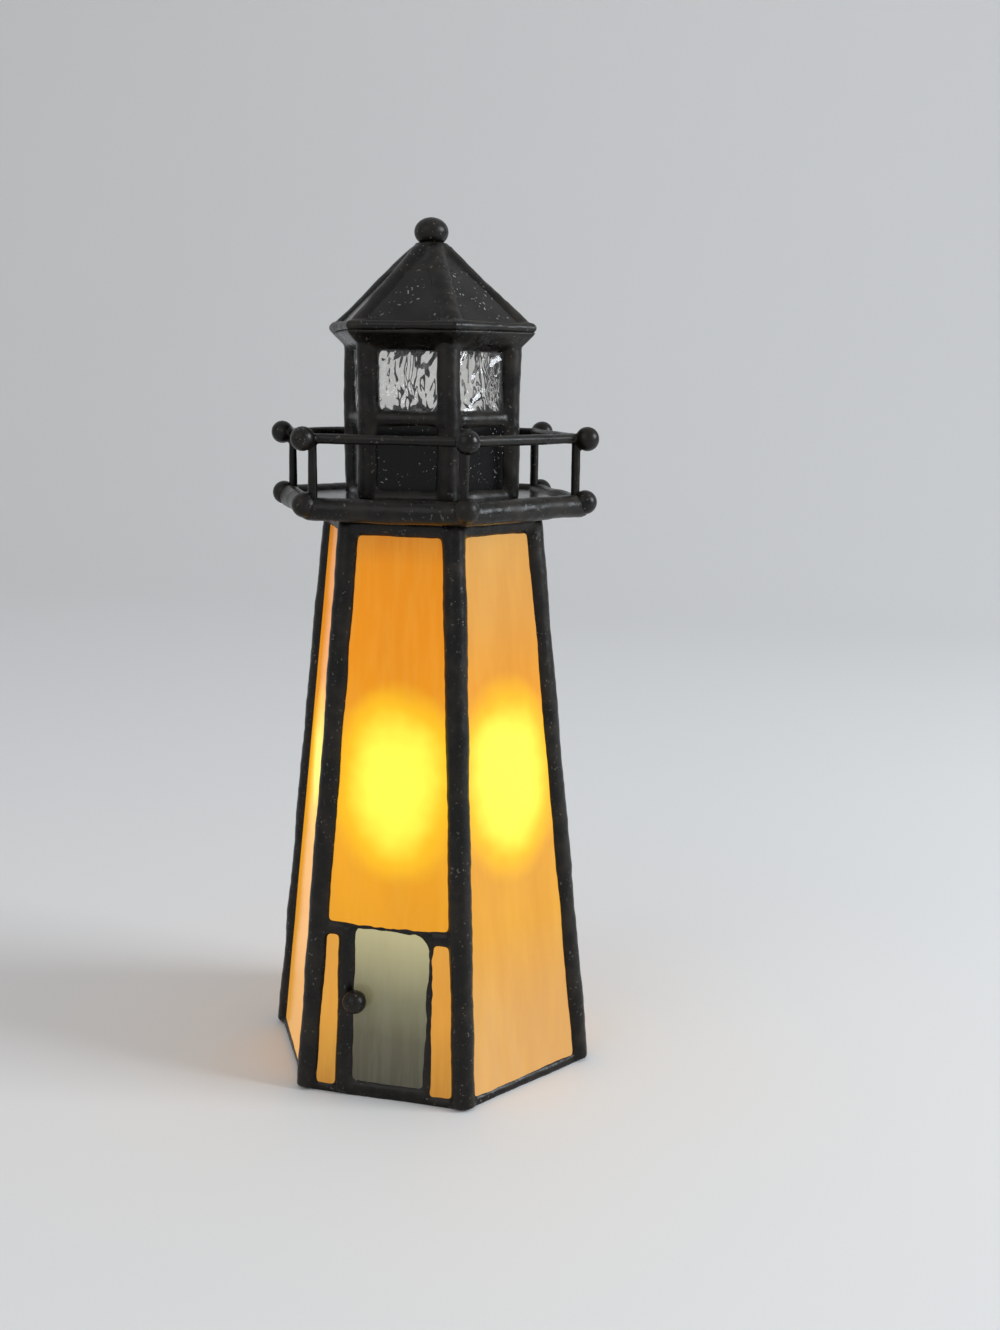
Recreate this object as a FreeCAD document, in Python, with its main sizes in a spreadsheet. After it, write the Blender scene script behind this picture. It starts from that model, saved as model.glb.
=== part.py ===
import FreeCAD, Part
import math
import os
import re
import Sketcher
from FreeCAD import Vector

# A table lamp of stained glass in the form of a six-sided lighthouse.
#
# The glass is cut flat, with square edges. Copper foil and solder join it: every edge
# carries a solder bead that is round inside and outside. +Z is up, the lamp stands on
# z = 0 with its axis on the Z axis, and the side with the door faces -Y. The hexagon
# has a corner on +X. Lengths are in millimetres and angles in degrees.

SIZES = {
    # glass and foil, the same all over the lamp
    "glass_thickness": 3.0,
    "foil_gap": 0.3,
    "foil_overlap": 1.0,
    # tower: a steep six-sided frustum, measured at the outer corners of the glass
    "base_corner_radius": 45.2,
    "tower_top_corner_radius": 29.2,
    "tower_glass_bottom": 0.8,
    "tower_glass_top": 151.0,
    "corner_bead_radius": 3.2,
    "corner_bead_inset": 1.4,
    "base_bead_radius": 2.1,
    "base_bead_height": 1.0,
    "tower_top_bead_radius": 3.3,
    "cord_notch_width": 8.0,
    "cord_notch_height": 6.0,
    # door side: a door pane between two strips, under a lintel
    "lintel_height": 45.6,
    "lintel_bead_radius": 1.9,
    "strip_head_drop": 0.95,
    "strip_head_bead_radius": 2.55,
    "left_jamb_distance": 11.3,
    "left_jamb_bead_radius": 3.0,
    "right_jamb_distance": 11.95,
    "right_jamb_bead_radius": 1.9,
    "door_corner_radius": 5.5,
    "door_glass_bottom": 2.6,
    "threshold_height": 2.5,
    "threshold_bead_radius": 2.3,
    "spandrel_proud": 0.4,
    "knob_radius": 3.175,
    "knob_height": 26.2,
    "knob_distance": 7.8,
    "knob_sink": 0.4,
    # gallery: deck with a rounded rim, six posts, hand rails and twelve balls
    "deck_rise": 5.6,
    "deck_thickness": 3.0,
    "deck_corner_radius": 40.9,
    "rim_bead_radius": 3.1,
    "rim_bead_drop": 1.5,
    "ball_radius": 3.175,
    "foot_ball_circle": 42.1,
    "foot_ball_drop": 0.6,
    "rail_ball_circle": 42.9,
    "rail_rise": 16.0,
    "rail_radius": 1.25,
    "post_circle": 39.9,
    "post_radius": 1.05,
    # lantern room: low walls, sills and clear windows
    "lantern_corner_radius": 22.9,
    "lantern_bead_radius": 3.15,
    "lantern_foot_bead_radius": 2.8,
    "lantern_foot_bead_rise": 0.25,
    "wall_rise": 20.6,
    "sill_bead_radius": 2.5,
    "window_rise": 19.0,
    "head_bead_radius": 2.2,
    "head_bead_rise": 0.2,
    # roof: a six-sided pyramid on a flared cove
    "eave_rise": 3.7,
    "eave_corner_radius": 28.3,
    "roof_rise": 25.7,
    "roof_glass_drop": 8.6,
    "eave_bead_radius": 1.5,
    "eave_bead_corner_radius": 27.2,
    "eave_bead_rise": 0.8,
    "cove_top_corner_radius": 28.8,
    "cove_drop": 0.5,
    "cove_wall": 1.6,
    "ridge_bead_radius": 3.3,
    "ridge_bead_proud": 0.8,
    "ridge_nose_setback": 2.7,
    "ridge_end_radius": 3.0,
    "cap_bottom_drop": 7.2,
    "cap_radius": 5.2,
    "cap_top_drop": 2.9,
    "cap_top_radius": 4.25,
    "finial_radius": 4.5,
    "finial_half_height": 3.75,
    "finial_sink": 1.2,
    # strap across the tower foot, which carries the lampholder
    "strap_bottom": 14.0,
    "strap_thickness": 1.2,
    "strap_width": 38.0,
    "strap_lip": 4.0,
    "strap_clearance": 0.3,
    "strap_hole_radius": 14.2,
    "strap_tack_radius": 3.4,
    # lampholder, pushed up into the strap's hole
    "holder_bottom": 4.0,
    "holder_flange_radius": 17.0,
    "holder_flange_thickness": 3.0,
    "holder_skirt_radius": 13.0,
    "holder_shoulder_radius": 13.3,
    "holder_shoulder_top": 26.0,
    "holder_neck_radius": 10.4,
    "holder_neck_bottom": 30.0,
    "holder_top": 61.5,
    "holder_wall": 1.8,
    "holder_seat_gap": 0.1,
    "holder_floor": 40.0,
    "holder_floor_thickness": 4.0,
    "holder_slot_width": 6.0,
    "holder_slot_height": 6.0,
    "clip_width": 6.0,
    "clip_thickness": 0.5,
    "clip_bow": 0.2,
    "clip_top": 24.0,
    "shell_wall": 0.4,
    "shell_seat_radius": 4.2,
    "contact_radius": 3.2,
    "contact_height": 1.2,
    # candelabra screw bulb
    "bulb_cap_radius": 5.95,
    "bulb_cap_length": 10.5,
    "bulb_thread_clearance": 0.35,
    "bulb_seat_gap": 0.3,
    "bulb_tip_radius": 2.6,
    "bulb_tip_height": 1.1,
    "bulb_insulator_height": 2.2,
    "bulb_neck_radius": 5.4,
    "bulb_radius": 11.0,
    "bulb_glass_height": 40.3,
    "bulb_wall": 0.7,
    "bulb_stem_radius": 2.0,
    "bulb_stem_height": 7.0,
    "filament_lead_radius": 0.3,
    "filament_lead_length": 13.0,
    "filament_spread": 3.0,
}

SIDES = ["front", "front_right", "back_right", "rear", "back_left", "front_left"]
SIDE_ANGLE = 60
# Round forms that repeat are made in flats, to keep their surfaces few.
BALL_BANDS = 8
BALL_POLE = 0.15
ROUND_FLATS = 16

doc = FreeCAD.newDocument("stained_glass_lighthouse")
sizes = doc.addObject("Spreadsheet::Sheet", "Sizes")
for row, (size_name, number) in enumerate(SIZES.items(), start=1):
    sizes.set(f"A{row}", size_name)
    sizes.set(f"B{row}", str(number))
    sizes.setAlias(f"B{row}", size_name)
doc.recompute()

# ---------------------------------------------------------------- formulas on the sizes

# Heights that stack on one another, from the top of the tower's glass to the roof cap.
HEIGHTS = {
    "deck_top": "(tower_glass_top + deck_rise)",
    "rail_height": "(deck_top + rail_rise)",
    "sill_height": "(deck_top + wall_rise)",
    "window_top": "(sill_height + window_rise)",
    "eave_height": "(window_top + eave_rise)",
    "apex_height": "(eave_height + roof_rise)",
    "roof_glass_top": "(apex_height - roof_glass_drop)",
    "cap_bottom": "(apex_height - cap_bottom_drop)",
    "cap_top": "(apex_height - cap_top_drop)",
}

# Every size name holds an underscore, so names and functions can't be confused.
SIZE_NAME = re.compile(r"\b[a-z]+(?:_[a-z]+)+\b")


def formula(text):
    """Turns a formula on bare size names into an expression on the sheet's cells."""
    def spell_out(match):
        name = match.group()
        return formula(HEIGHTS[name]) if name in HEIGHTS else "Sizes." + name
    return SIZE_NAME.sub(spell_out, str(text))


def value(text):
    result = sizes.evalExpression(formula(text))
    return float(getattr(result, "Value", result))


def bind(item, prop, text):
    item.setExpression(prop, formula(text))


def place(item, text):
    bind(item, "Placement", text)


def shift(x, y, z):
    return f"placement(vector({x}; {y}; {z}); rotation(vector(0; 0; 1); 0))"


def turn(axis, angle):
    x, y, z = axis
    return f"placement(vector(0; 0; 0); rotation(vector({x}; {y}; {z}); {angle}))"


X_AXIS = (1, 0, 0)
Y_AXIS = (0, 1, 0)
Z_AXIS = (0, 0, 1)

# The tower's glass leans inwards, and the roof's far more.
TOWER_LEAN = "atan(cos(30) * (base_corner_radius - tower_top_corner_radius) / tower_glass_top)"
ROOF_LEAN = "atan(cos(30) * eave_corner_radius / (apex_height - eave_height))"
RIDGE_SLOPE = "atan((apex_height - eave_height) / eave_corner_radius)"
DECK_BOTTOM = "(deck_top - deck_thickness)"
GLASS_MIDDLE = "glass_thickness / 2"


def tower_corner(z):
    """Radius of the tower's glass corners at a height."""
    taper = "(base_corner_radius - tower_top_corner_radius)"
    return f"(base_corner_radius - {taper} * ({z}) / tower_glass_top)"


def up_tower(z):
    """Distance up the leaning tower glass to a height."""
    return f"(({z}) / cos({TOWER_LEAN}))"


def edge_inset(lean):
    """How far square-cut glass stops short of the corner, so that neighbours just clear."""
    return f"(glass_thickness * tan(30) * cos({lean}) + foil_gap)"


def tower_half_width(z):
    return f"({tower_corner(z)} / 2 - {edge_inset(TOWER_LEAN)})"


def side_frame(side, corner_radius, z, lean):
    """Placement of one side's outer face: X across it, Z up its slope, Y into the lamp."""
    around = turn(Z_AXIS, side * SIDE_ANGLE)
    out = shift(0, f"-cos(30) * ({corner_radius})", z)
    return f"{around} * {out} * {turn(X_AXIS, f'-({lean})')}"


FRONT = side_frame(0, "base_corner_radius", 0, TOWER_LEAN)

# ---------------------------------------------------------------- modelling helpers


def new_body(name):
    return doc.addObject("PartDesign::Body", name)


def origin(body, role):
    return [item for item in body.Origin.OriginFeatures if item.Role == role][0]


def new_sketch(body, name, plane, offset=None):
    sketch = body.newObject("Sketcher::SketchObject", name)
    sketch.AttachmentSupport = [(origin(body, plane), "")]
    sketch.MapMode = "FlatFace"
    if offset:
        bind(sketch, "AttachmentOffset", offset)
    return sketch


def fix_point(sketch, geometry, point, x, y):
    """Holds a sketch point at a place given by two formulas."""
    for kind, distance in (("DistanceX", x), ("DistanceY", y)):
        number = sketch.addConstraint(
            Sketcher.Constraint(kind, -1, 1, geometry, point, value(distance)))
        bind(sketch, f"Constraints[{number}]", distance)


def outline(body, name, plane, points, offset=None):
    """A closed outline with straight sides through points given as formulas."""
    sketch = new_sketch(body, name, plane, offset)
    corners = [Vector(value(x), value(y), 0) for x, y in points]
    count = len(corners)
    for start in range(count):
        end = (start + 1) % count
        sketch.addGeometry(Part.LineSegment(corners[start], corners[end]), False)
    for start in range(count):
        end = (start + 1) % count
        sketch.addConstraint(Sketcher.Constraint("Coincident", start, 2, end, 1))
        fix_point(sketch, start, 1, *points[start])
    return sketch


def circle(body, name, plane, x, y, radius, offset=None):
    sketch = new_sketch(body, name, plane, offset)
    centre = Vector(value(x), value(y), 0)
    sketch.addGeometry(Part.Circle(centre, Vector(0, 0, 1), value(radius)), False)
    number = sketch.addConstraint(Sketcher.Constraint("Radius", 0, value(radius)))
    bind(sketch, f"Constraints[{number}]", radius)
    fix_point(sketch, 0, 3, x, y)
    return sketch


def pad(body, sketch, length, into=True):
    feature = body.newObject("PartDesign::Pad", body.Name + "_pad")
    feature.Profile = sketch
    feature.Reversed = into
    bind(feature, "Length", length)
    return feature


def revolve(body, sketch):
    feature = body.newObject("PartDesign::Revolution", body.Name + "_turned")
    feature.Profile = sketch
    feature.ReferenceAxis = (sketch, ["V_Axis"])
    feature.Angle = 360
    return feature


def pattern(body, feature, count):
    """Repeats a feature evenly around the lamp's axis."""
    copies = body.newObject("PartDesign::PolarPattern", body.Name + "_pattern")
    copies.Originals = [feature]
    copies.Axis = (origin(body, "Z_Axis"), [""])
    copies.Angle = 360
    copies.Occurrences = count
    body.Tip = copies
    return copies


def turned(name, points):
    """A piece turned about the lamp's axis, from (radius, height) formulas."""
    body = new_body(name)
    revolve(body, outline(body, name + "_profile", "XZ_Plane", points))
    return body


def hexagon(radius):
    """The corners of a hexagon about the axis, after a start in the middle of a side."""
    corners = [("0", f"-cos(30) * ({radius})")]
    for side in range(len(SIDES)):
        angle = side * SIDE_ANGLE - SIDE_ANGLE
        corners.append((f"({radius}) * cos({angle})", f"({radius}) * sin({angle})"))
    return corners


def hexagon_ring(name, radius, z, profile):
    """Runs a section round a hexagon. The profile is drawn about the middle of a side."""
    body = new_body(name)
    spine = outline(body, name + "_path", "XY_Plane", hexagon(radius), shift(0, 0, z))
    section = profile(body, name + "_section", f"-cos(30) * ({radius})", z)
    ring = body.newObject("PartDesign::AdditivePipe", name + "_ring")
    ring.Profile = section
    ring.Spine = (spine, [])
    ring.Transition = "Right corner"
    return body


def bead_ring(name, radius, z, bead_radius):
    def round_section(body, section_name, y, height):
        return circle(body, section_name, "YZ_Plane", y, height, bead_radius)

    return hexagon_ring(name, radius, z, round_section)


def corner_beads(name, low_radius, low, high_radius, high, bead_radius):
    """Six beads that run straight up the corners, from one height to another."""
    lean = f"atan((({low_radius}) - ({high_radius})) / (({high}) - ({low})))"
    beads = []
    for side in range(len(SIDES)):
        frame = (f"{turn(Z_AXIS, side * SIDE_ANGLE)} * {shift(low_radius, 0, low)}"
                 f" * {turn(Y_AXIS, f'-{lean}')}")
        beads.append(rod(f"{name}_{side + 1}", bead_radius,
                         f"(({high}) - ({low})) / cos({lean})", frame))
    return beads


def round_stack(name, profile):
    """A small round form in flats: rings of corners, from (radius, height) formulas."""
    rings = []
    for radius, z in profile:
        ring = []
        for flat in range(ROUND_FLATS):
            angle = math.radians(flat * 360 / ROUND_FLATS)
            across = value(radius)
            ring.append(Vector(across * math.cos(angle), across * math.sin(angle), value(z)))
        rings.append(ring)
    faces = [Part.Face(Part.makePolygon(ring + ring[:1])) for ring in (rings[0], rings[-1])]
    for low, high in zip(rings, rings[1:]):
        for flat in range(ROUND_FLATS):
            after = (flat + 1) % ROUND_FLATS
            edges = [low[flat], low[after], high[after], high[flat], low[flat]]
            faces.append(Part.Face(Part.makePolygon(edges)))
    stack = doc.addObject("Part::Feature", name)
    stack.Shape = Part.Solid(Part.Shell(faces))
    return stack


def ball(name, radius, half_height):
    """A ball, or a flattened one, in bands from pole to pole."""
    profile = [(f"({radius}) * {BALL_POLE}", f"-({half_height})")]
    for band in range(1, BALL_BANDS):
        angle = band * 180 / BALL_BANDS - 90
        profile.append((f"({radius}) * cos({angle})", f"({half_height}) * sin({angle})"))
    profile.append((f"({radius}) * {BALL_POLE}", half_height))
    return round_stack(name, profile)


def ball_circle(name, circle_radius, z):
    """Six copies of one ball, a copy over each corner."""
    first = ball(name + "_ball", "ball_radius", "ball_radius")
    copies = []
    for side in range(len(SIDES)):
        copy = doc.addObject("App::Link", f"{name}_{side + 1}")
        copy.LinkedObject = first
        place(copy, f"{turn(Z_AXIS, side * SIDE_ANGLE)} * {shift(circle_radius, 0, z)}")
        copies.append(copy)
    return group(name, copies)


def glass(name, points, frame, thickness="glass_thickness"):
    """Flat glass: an outline on its outer face, as thick as the sheet."""
    body = new_body(name)
    pad(body, outline(body, name + "_outline", "XZ_Plane", points), thickness)
    place(body, frame)
    return body


def upright_pane(name, side, half_width, bottom, top, frame):
    points = [(f"-{half_width}", bottom), (half_width, bottom),
              (half_width, top), (f"-{half_width}", top)]
    return glass(f"{name}_{SIDES[side]}", points, frame)


def rod(name, radius, length, frame):
    item = doc.addObject("Part::Cylinder", name)
    bind(item, "Radius", radius)
    bind(item, "Height", length)
    place(item, frame)
    return item


def block(name, x_length, y_length, z_length, frame):
    item = doc.addObject("Part::Box", name)
    bind(item, "Length", x_length)
    bind(item, "Width", y_length)
    bind(item, "Height", z_length)
    place(item, frame)
    return item


def group(name, items):
    together = doc.addObject("Part::Compound", name)
    together.Links = items
    return together


def fuse(name, items):
    whole = doc.addObject("Part::MultiFuse", name)
    whole.Shapes = items
    return whole


def fitted(name, rough, neighbours):
    """A piece that flowed or was cut to fit: its rough form less its neighbours."""
    piece = doc.addObject("Part::Cut", name)
    piece.Base = rough
    piece.Tool = neighbours[0] if len(neighbours) == 1 else group(name + "_fit", neighbours)
    return piece


# ---------------------------------------------------------------- tower glass


def whole_tower_pane(name, side):
    bottom = "tower_glass_bottom"
    top = "tower_glass_top"
    points = [
        (f"-{tower_half_width(bottom)}", up_tower(bottom)),
        (tower_half_width(bottom), up_tower(bottom)),
        (tower_half_width(top), up_tower(top)),
        (f"-{tower_half_width(top)}", up_tower(top)),
    ]
    frame = side_frame(side, "base_corner_radius", 0, TOWER_LEAN)
    return glass(name, points, frame)


cord_notch = fuse("cord_notch", [
    block("cord_notch_foot", "cord_notch_width", "base_corner_radius",
          "cord_notch_height - cord_notch_width / 2",
          shift("-cord_notch_width / 2", "base_corner_radius / 2", 0)),
    rod("cord_notch_arch", "cord_notch_width / 2", "base_corner_radius",
        shift(0, "base_corner_radius * 1.5", "cord_notch_height - cord_notch_width / 2")
        + " * " + turn(X_AXIS, 90)),
])

tower_panels = []
for side in range(1, len(SIDES)):
    if SIDES[side] == "rear":
        rear_blank = whole_tower_pane("rear_blank", side)
        tower_panels.append(fitted("panel_rear", rear_blank, [cord_notch]))
    else:
        tower_panels.append(whole_tower_pane("panel_" + SIDES[side], side))

# The front is cut in four: one pane above the lintel, the door and a strip each side.
over_lintel = "(lintel_height + foil_gap)"
under_lintel = "(lintel_height - foil_gap)"
panel_front = glass("panel_front", [
    (f"-{tower_half_width(over_lintel)}", up_tower(over_lintel)),
    (tower_half_width(over_lintel), up_tower(over_lintel)),
    (tower_half_width("tower_glass_top"), up_tower("tower_glass_top")),
    (f"-{tower_half_width('tower_glass_top')}", up_tower("tower_glass_top")),
], FRONT)

door_strip_left = glass("door_strip_left", [
    (f"-{tower_half_width('tower_glass_bottom')}", up_tower("tower_glass_bottom")),
    ("-(left_jamb_distance + foil_gap)", up_tower("tower_glass_bottom")),
    ("-(left_jamb_distance + foil_gap)", up_tower(under_lintel)),
    (f"-{tower_half_width(under_lintel)}", up_tower(under_lintel)),
], FRONT)

door_strip_right = glass("door_strip_right", [
    ("right_jamb_distance + foil_gap", up_tower("tower_glass_bottom")),
    (tower_half_width("tower_glass_bottom"), up_tower("tower_glass_bottom")),
    (tower_half_width(under_lintel), up_tower(under_lintel)),
    ("right_jamb_distance + foil_gap", up_tower(under_lintel)),
], FRONT)

# The door's upper right corner is rounded, and the others are square.
door_blank = new_body("door_blank")
DOOR_LEFT = "(left_jamb_distance - foil_gap)"
DOOR_RIGHT = "(right_jamb_distance - foil_gap)"
pad(door_blank, outline(door_blank, "door_outline", "XZ_Plane", [
    (f"-{DOOR_LEFT}", up_tower("door_glass_bottom")),
    (DOOR_RIGHT, up_tower("door_glass_bottom")),
    (DOOR_RIGHT, f"{up_tower(under_lintel)} - door_corner_radius"),
    (f"{DOOR_RIGHT} - door_corner_radius", up_tower(under_lintel)),
    (f"-{DOOR_LEFT}", up_tower(under_lintel)),
]), "glass_thickness")
place(door_blank, FRONT)
CORNER_X = f"{DOOR_RIGHT} - door_corner_radius"
CORNER_Z = f"{up_tower(under_lintel)} - door_corner_radius"
door_corner = rod(
    "door_corner", "door_corner_radius", "glass_thickness",
    FRONT + " * " + shift(CORNER_X, "glass_thickness", CORNER_Z) + " * " + turn(X_AXIS, 90))
door_pane = fuse("door_pane", [door_blank, door_corner])

front_glass = [panel_front, door_strip_left, door_strip_right, door_pane]
tower_glass = tower_panels + front_glass

# ---------------------------------------------------------------- gallery deck and rails

deck_plate = new_body("deck_plate")
pad(deck_plate, outline(deck_plate, "deck_outline", "XY_Plane",
                        hexagon("deck_corner_radius")[1:], shift(0, 0, DECK_BOTTOM)),
    "deck_thickness", into=False)

rail_wires = []
for side in range(len(SIDES)):
    wire = rod(f"rail_wire_{SIDES[side]}", "rail_radius", "post_circle * 1.5",
               side_frame(side, "post_circle", "rail_height", "0") + " * "
               + shift("-post_circle * 0.75", 0, 0) + " * " + turn(Y_AXIS, 90))
    sector = doc.addObject("Part::Prism", f"rail_sector_{SIDES[side]}")
    sector.Polygon = 3
    bind(sector, "Circumradius", "post_circle * 2")
    bind(sector, "Height", "rail_radius * 4")
    place(sector, f"{turn(Z_AXIS, side * SIDE_ANGLE - 90)} * "
          + shift("post_circle * 2", 0, "rail_height - rail_radius * 2")
          + f" * {turn(Z_AXIS, 180)}")
    mitred = doc.addObject("Part::Common", f"rail_mitred_{SIDES[side]}")
    mitred.Base = wire
    mitred.Tool = sector
    rail_wires.append(mitred)
hand_rails = group("hand_rails", rail_wires)

post_rods = new_body("post_rods")
post_section = circle(post_rods, "post_section", "XY_Plane", "post_circle", "0",
                      "post_radius", shift(0, 0, "deck_top"))
pattern(post_rods, pad(post_rods, post_section, "rail_height - deck_top", into=False),
        len(SIDES))
rail_posts = fitted("rail_posts", post_rods, rail_wires)

rail_balls = fitted("rail_balls", ball_circle("rail_ball_forms", "rail_ball_circle",
                                              "rail_height"),
                    [rail_posts] + rail_wires)
foot_balls = fitted("foot_balls", ball_circle("foot_ball_forms", "foot_ball_circle",
                                              "deck_top - foot_ball_drop"),
                    [deck_plate, rail_posts])
deck_rim = fitted("deck_rim", bead_ring("rim_bead", "deck_corner_radius",
                                        "deck_top - rim_bead_drop", "rim_bead_radius"),
                  [deck_plate, foot_balls, rail_posts])

# ---------------------------------------------------------------- tower seams

GLASS_MIDDLE_INSET = f"({GLASS_MIDDLE}) / (cos(30) * cos({TOWER_LEAN}))"


def front_rod(name, radius, length, x, z, level):
    """A bead in the thickness of the front glass, upright or level."""
    lie = " * " + turn(Y_AXIS, 90) if level else ""
    frame = FRONT + " * " + shift(x, GLASS_MIDDLE, up_tower(z)) + lie
    return rod(name, radius, length, frame)


table_top = block("table_top", "base_corner_radius * 3", "base_corner_radius * 3",
                  "corner_bead_radius * 2",
                  shift("-base_corner_radius * 1.5", "-base_corner_radius * 1.5",
                        "-corner_bead_radius * 2"))

# The bead round the foot is thicker under the door, where it makes the threshold.
base_seam = fitted("base_seam", fuse("base_rough", [
    bead_ring("base_bead", f"{tower_corner('base_bead_height')} - {GLASS_MIDDLE_INSET}",
              "base_bead_height", "base_bead_radius"),
    front_rod("threshold_bead", "threshold_bead_radius",
              "left_jamb_distance + right_jamb_distance", "-left_jamb_distance",
              "threshold_height", True)]),
    tower_glass + [cord_notch, table_top])

TOP_BEAD_HEIGHT = f"({DECK_BOTTOM} - tower_top_bead_radius + foil_gap / 3)"
tower_top_seam = fitted("tower_top_seam", bead_ring(
    "tower_top_bead", f"{tower_corner(TOP_BEAD_HEIGHT)} - {GLASS_MIDDLE_INSET}",
    TOP_BEAD_HEIGHT, "tower_top_bead_radius"),
    tower_glass + [deck_plate, deck_rim])

# The corner beads start under the table top and are cut off level with it.
UNDER_TABLE = "-corner_bead_radius"
tower_corner_seams = fitted("tower_corner_seams", group("tower_corner_beads", corner_beads(
    "tower_corner_bead",
    f"{tower_corner(UNDER_TABLE)} - corner_bead_inset", UNDER_TABLE,
    f"{tower_corner(TOP_BEAD_HEIGHT)} - corner_bead_inset", TOP_BEAD_HEIGHT,
    "corner_bead_radius")),
    tower_glass + [table_top, base_seam, tower_top_seam])

# ---------------------------------------------------------------- door seams and knob

strip_head_height = "(lintel_height - strip_head_drop)"
lintel_half_width = tower_half_width("lintel_height")
lintel_rough = fuse("lintel_rough", [
    front_rod("lintel_bead", "lintel_bead_radius", f"{lintel_half_width} * 2",
              f"-{lintel_half_width}", "lintel_height", True),
    front_rod("left_strip_head", "strip_head_bead_radius",
              f"{lintel_half_width} - left_jamb_distance",
              f"-{lintel_half_width}", strip_head_height, True),
    front_rod("right_strip_head", "strip_head_bead_radius",
              f"{lintel_half_width} - right_jamb_distance",
              "right_jamb_distance", strip_head_height, True),
])
lintel_seam = fitted("lintel_seam", lintel_rough, front_glass + [tower_corner_seams])

jamb_length = up_tower("lintel_height - base_bead_height")
jamb_seam_left = fitted("jamb_seam_left", front_rod(
    "left_jamb_bead", "left_jamb_bead_radius", jamb_length,
    "-left_jamb_distance", "base_bead_height", False),
    front_glass + [base_seam, lintel_seam, tower_corner_seams])

# The rounded corner of the door leaves a spandrel that is filled with solder.
SPANDREL_DEPTH = "(glass_thickness + spandrel_proud * 2)"
spandrel = fitted(
    "spandrel",
    block("spandrel_block", "door_corner_radius + foil_gap * 2", SPANDREL_DEPTH,
          "door_corner_radius + foil_gap",
          FRONT + " * " + shift(CORNER_X, "-spandrel_proud", CORNER_Z)),
    [rod("spandrel_curve", "door_corner_radius - foil_overlap", f"{SPANDREL_DEPTH} * 2",
         FRONT + " * " + shift(CORNER_X, f"{SPANDREL_DEPTH} * 1.5", CORNER_Z)
         + " * " + turn(X_AXIS, 90))])
jamb_seam_right = fitted("jamb_seam_right", fuse("right_jamb_rough", [
    front_rod("right_jamb_bead", "right_jamb_bead_radius", jamb_length,
              "right_jamb_distance", "base_bead_height", False),
    spandrel]),
    front_glass + [base_seam, lintel_seam, tower_corner_seams])

knob_form = ball("knob_form", "knob_radius", "knob_radius")
place(knob_form, FRONT + " * " + shift("-knob_distance", "knob_sink - knob_radius",
                                       up_tower("knob_height")))
door_knob = fitted("door_knob", knob_form, [door_pane, jamb_seam_left])

# ---------------------------------------------------------------- lantern room

lantern_half_width = f"(lantern_corner_radius / 2 - {edge_inset('0')})"
lantern_middle = f"lantern_corner_radius - {GLASS_MIDDLE} / cos(30)"
lantern_walls = []
window_panes = []
for side in range(len(SIDES)):
    frame = side_frame(side, "lantern_corner_radius", 0, "0")
    lantern_walls.append(upright_pane("lantern_wall", side, lantern_half_width,
                                      "deck_top", "sill_height - foil_gap", frame))
    window_panes.append(upright_pane("window_pane", side, lantern_half_width,
                                     "sill_height + foil_gap", "window_top", frame))
lantern_glass = lantern_walls + window_panes

lantern_foot_seam = fitted("lantern_foot_seam", bead_ring(
    "lantern_foot_bead", lantern_middle, "deck_top + lantern_foot_bead_rise",
    "lantern_foot_bead_radius"), lantern_walls + [deck_plate])

lantern_head_seam = fitted("lantern_head_seam", bead_ring(
    "lantern_head_bead", lantern_middle, "window_top + head_bead_rise",
    "head_bead_radius"), window_panes)

lantern_corner_seams = fitted("lantern_corner_seams", group(
    "lantern_corner_beads", corner_beads(
        "lantern_corner_bead",
        "lantern_corner_radius - corner_bead_inset", "deck_top",
        "lantern_corner_radius - corner_bead_inset", "window_top",
        "lantern_bead_radius")),
    lantern_glass + [lantern_foot_seam, lantern_head_seam])

sill_seams = fitted("sill_seams", bead_ring(
    "sill_bead", lantern_middle, "sill_height", "sill_bead_radius"),
    lantern_glass + [lantern_corner_seams])

# ---------------------------------------------------------------- roof


def roof_half_width(z):
    share = f"((apex_height - ({z})) / (apex_height - eave_height))"
    return f"(eave_corner_radius * {share} / 2 - {edge_inset(ROOF_LEAN)})"


def up_roof(z):
    return f"((({z}) - eave_height) / cos({ROOF_LEAN}))"


roof_panels = []
for side in range(len(SIDES)):
    frame = side_frame(side, "eave_corner_radius", "eave_height", ROOF_LEAN)
    low = "(eave_height + foil_gap)"
    high = "roof_glass_top"
    roof_panels.append(glass(f"roof_panel_{SIDES[side]}", [
        (f"-{roof_half_width(low)}", up_roof(low)),
        (roof_half_width(low), up_roof(low)),
        (roof_half_width(high), up_roof(high)),
        (f"-{roof_half_width(high)}", up_roof(high)),
    ], frame))

eave_bead_height = "(eave_height + eave_bead_rise)"
eave_seam = fitted("eave_seam", bead_ring(
    "eave_bead", "eave_bead_corner_radius", eave_bead_height, "eave_bead_radius"),
    roof_panels)

# The cove flares from the head of the windows out to the eave.
LANTERN_FLAT = "cos(30) * lantern_corner_radius"
COVE_FLAT = "cos(30) * cove_top_corner_radius"


def cove_section(body, name, y, height):
    return outline(body, name, "YZ_Plane", [
        (f"-({LANTERN_FLAT} + foil_gap)", "window_top - head_bead_radius / 2"),
        (f"-({LANTERN_FLAT} + cove_wall)", "window_top - head_bead_radius / 8"),
        (f"-({COVE_FLAT})", f"{height} - cove_drop"),
        (f"-({COVE_FLAT} - cove_wall / 2)", height),
        (f"-({LANTERN_FLAT} + foil_gap)", "window_top + cove_wall"),
    ])


eave_cove = fitted("eave_cove", hexagon_ring(
    "cove_form", "cove_top_corner_radius", "eave_height", cove_section),
    [lantern_head_seam, lantern_corner_seams, eave_seam] + roof_panels)

finial_height = "(cap_top - finial_sink + finial_half_height)"
finial_ball = ball("finial_ball", "finial_radius", "finial_half_height")
place(finial_ball, shift(0, 0, finial_height))

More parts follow.
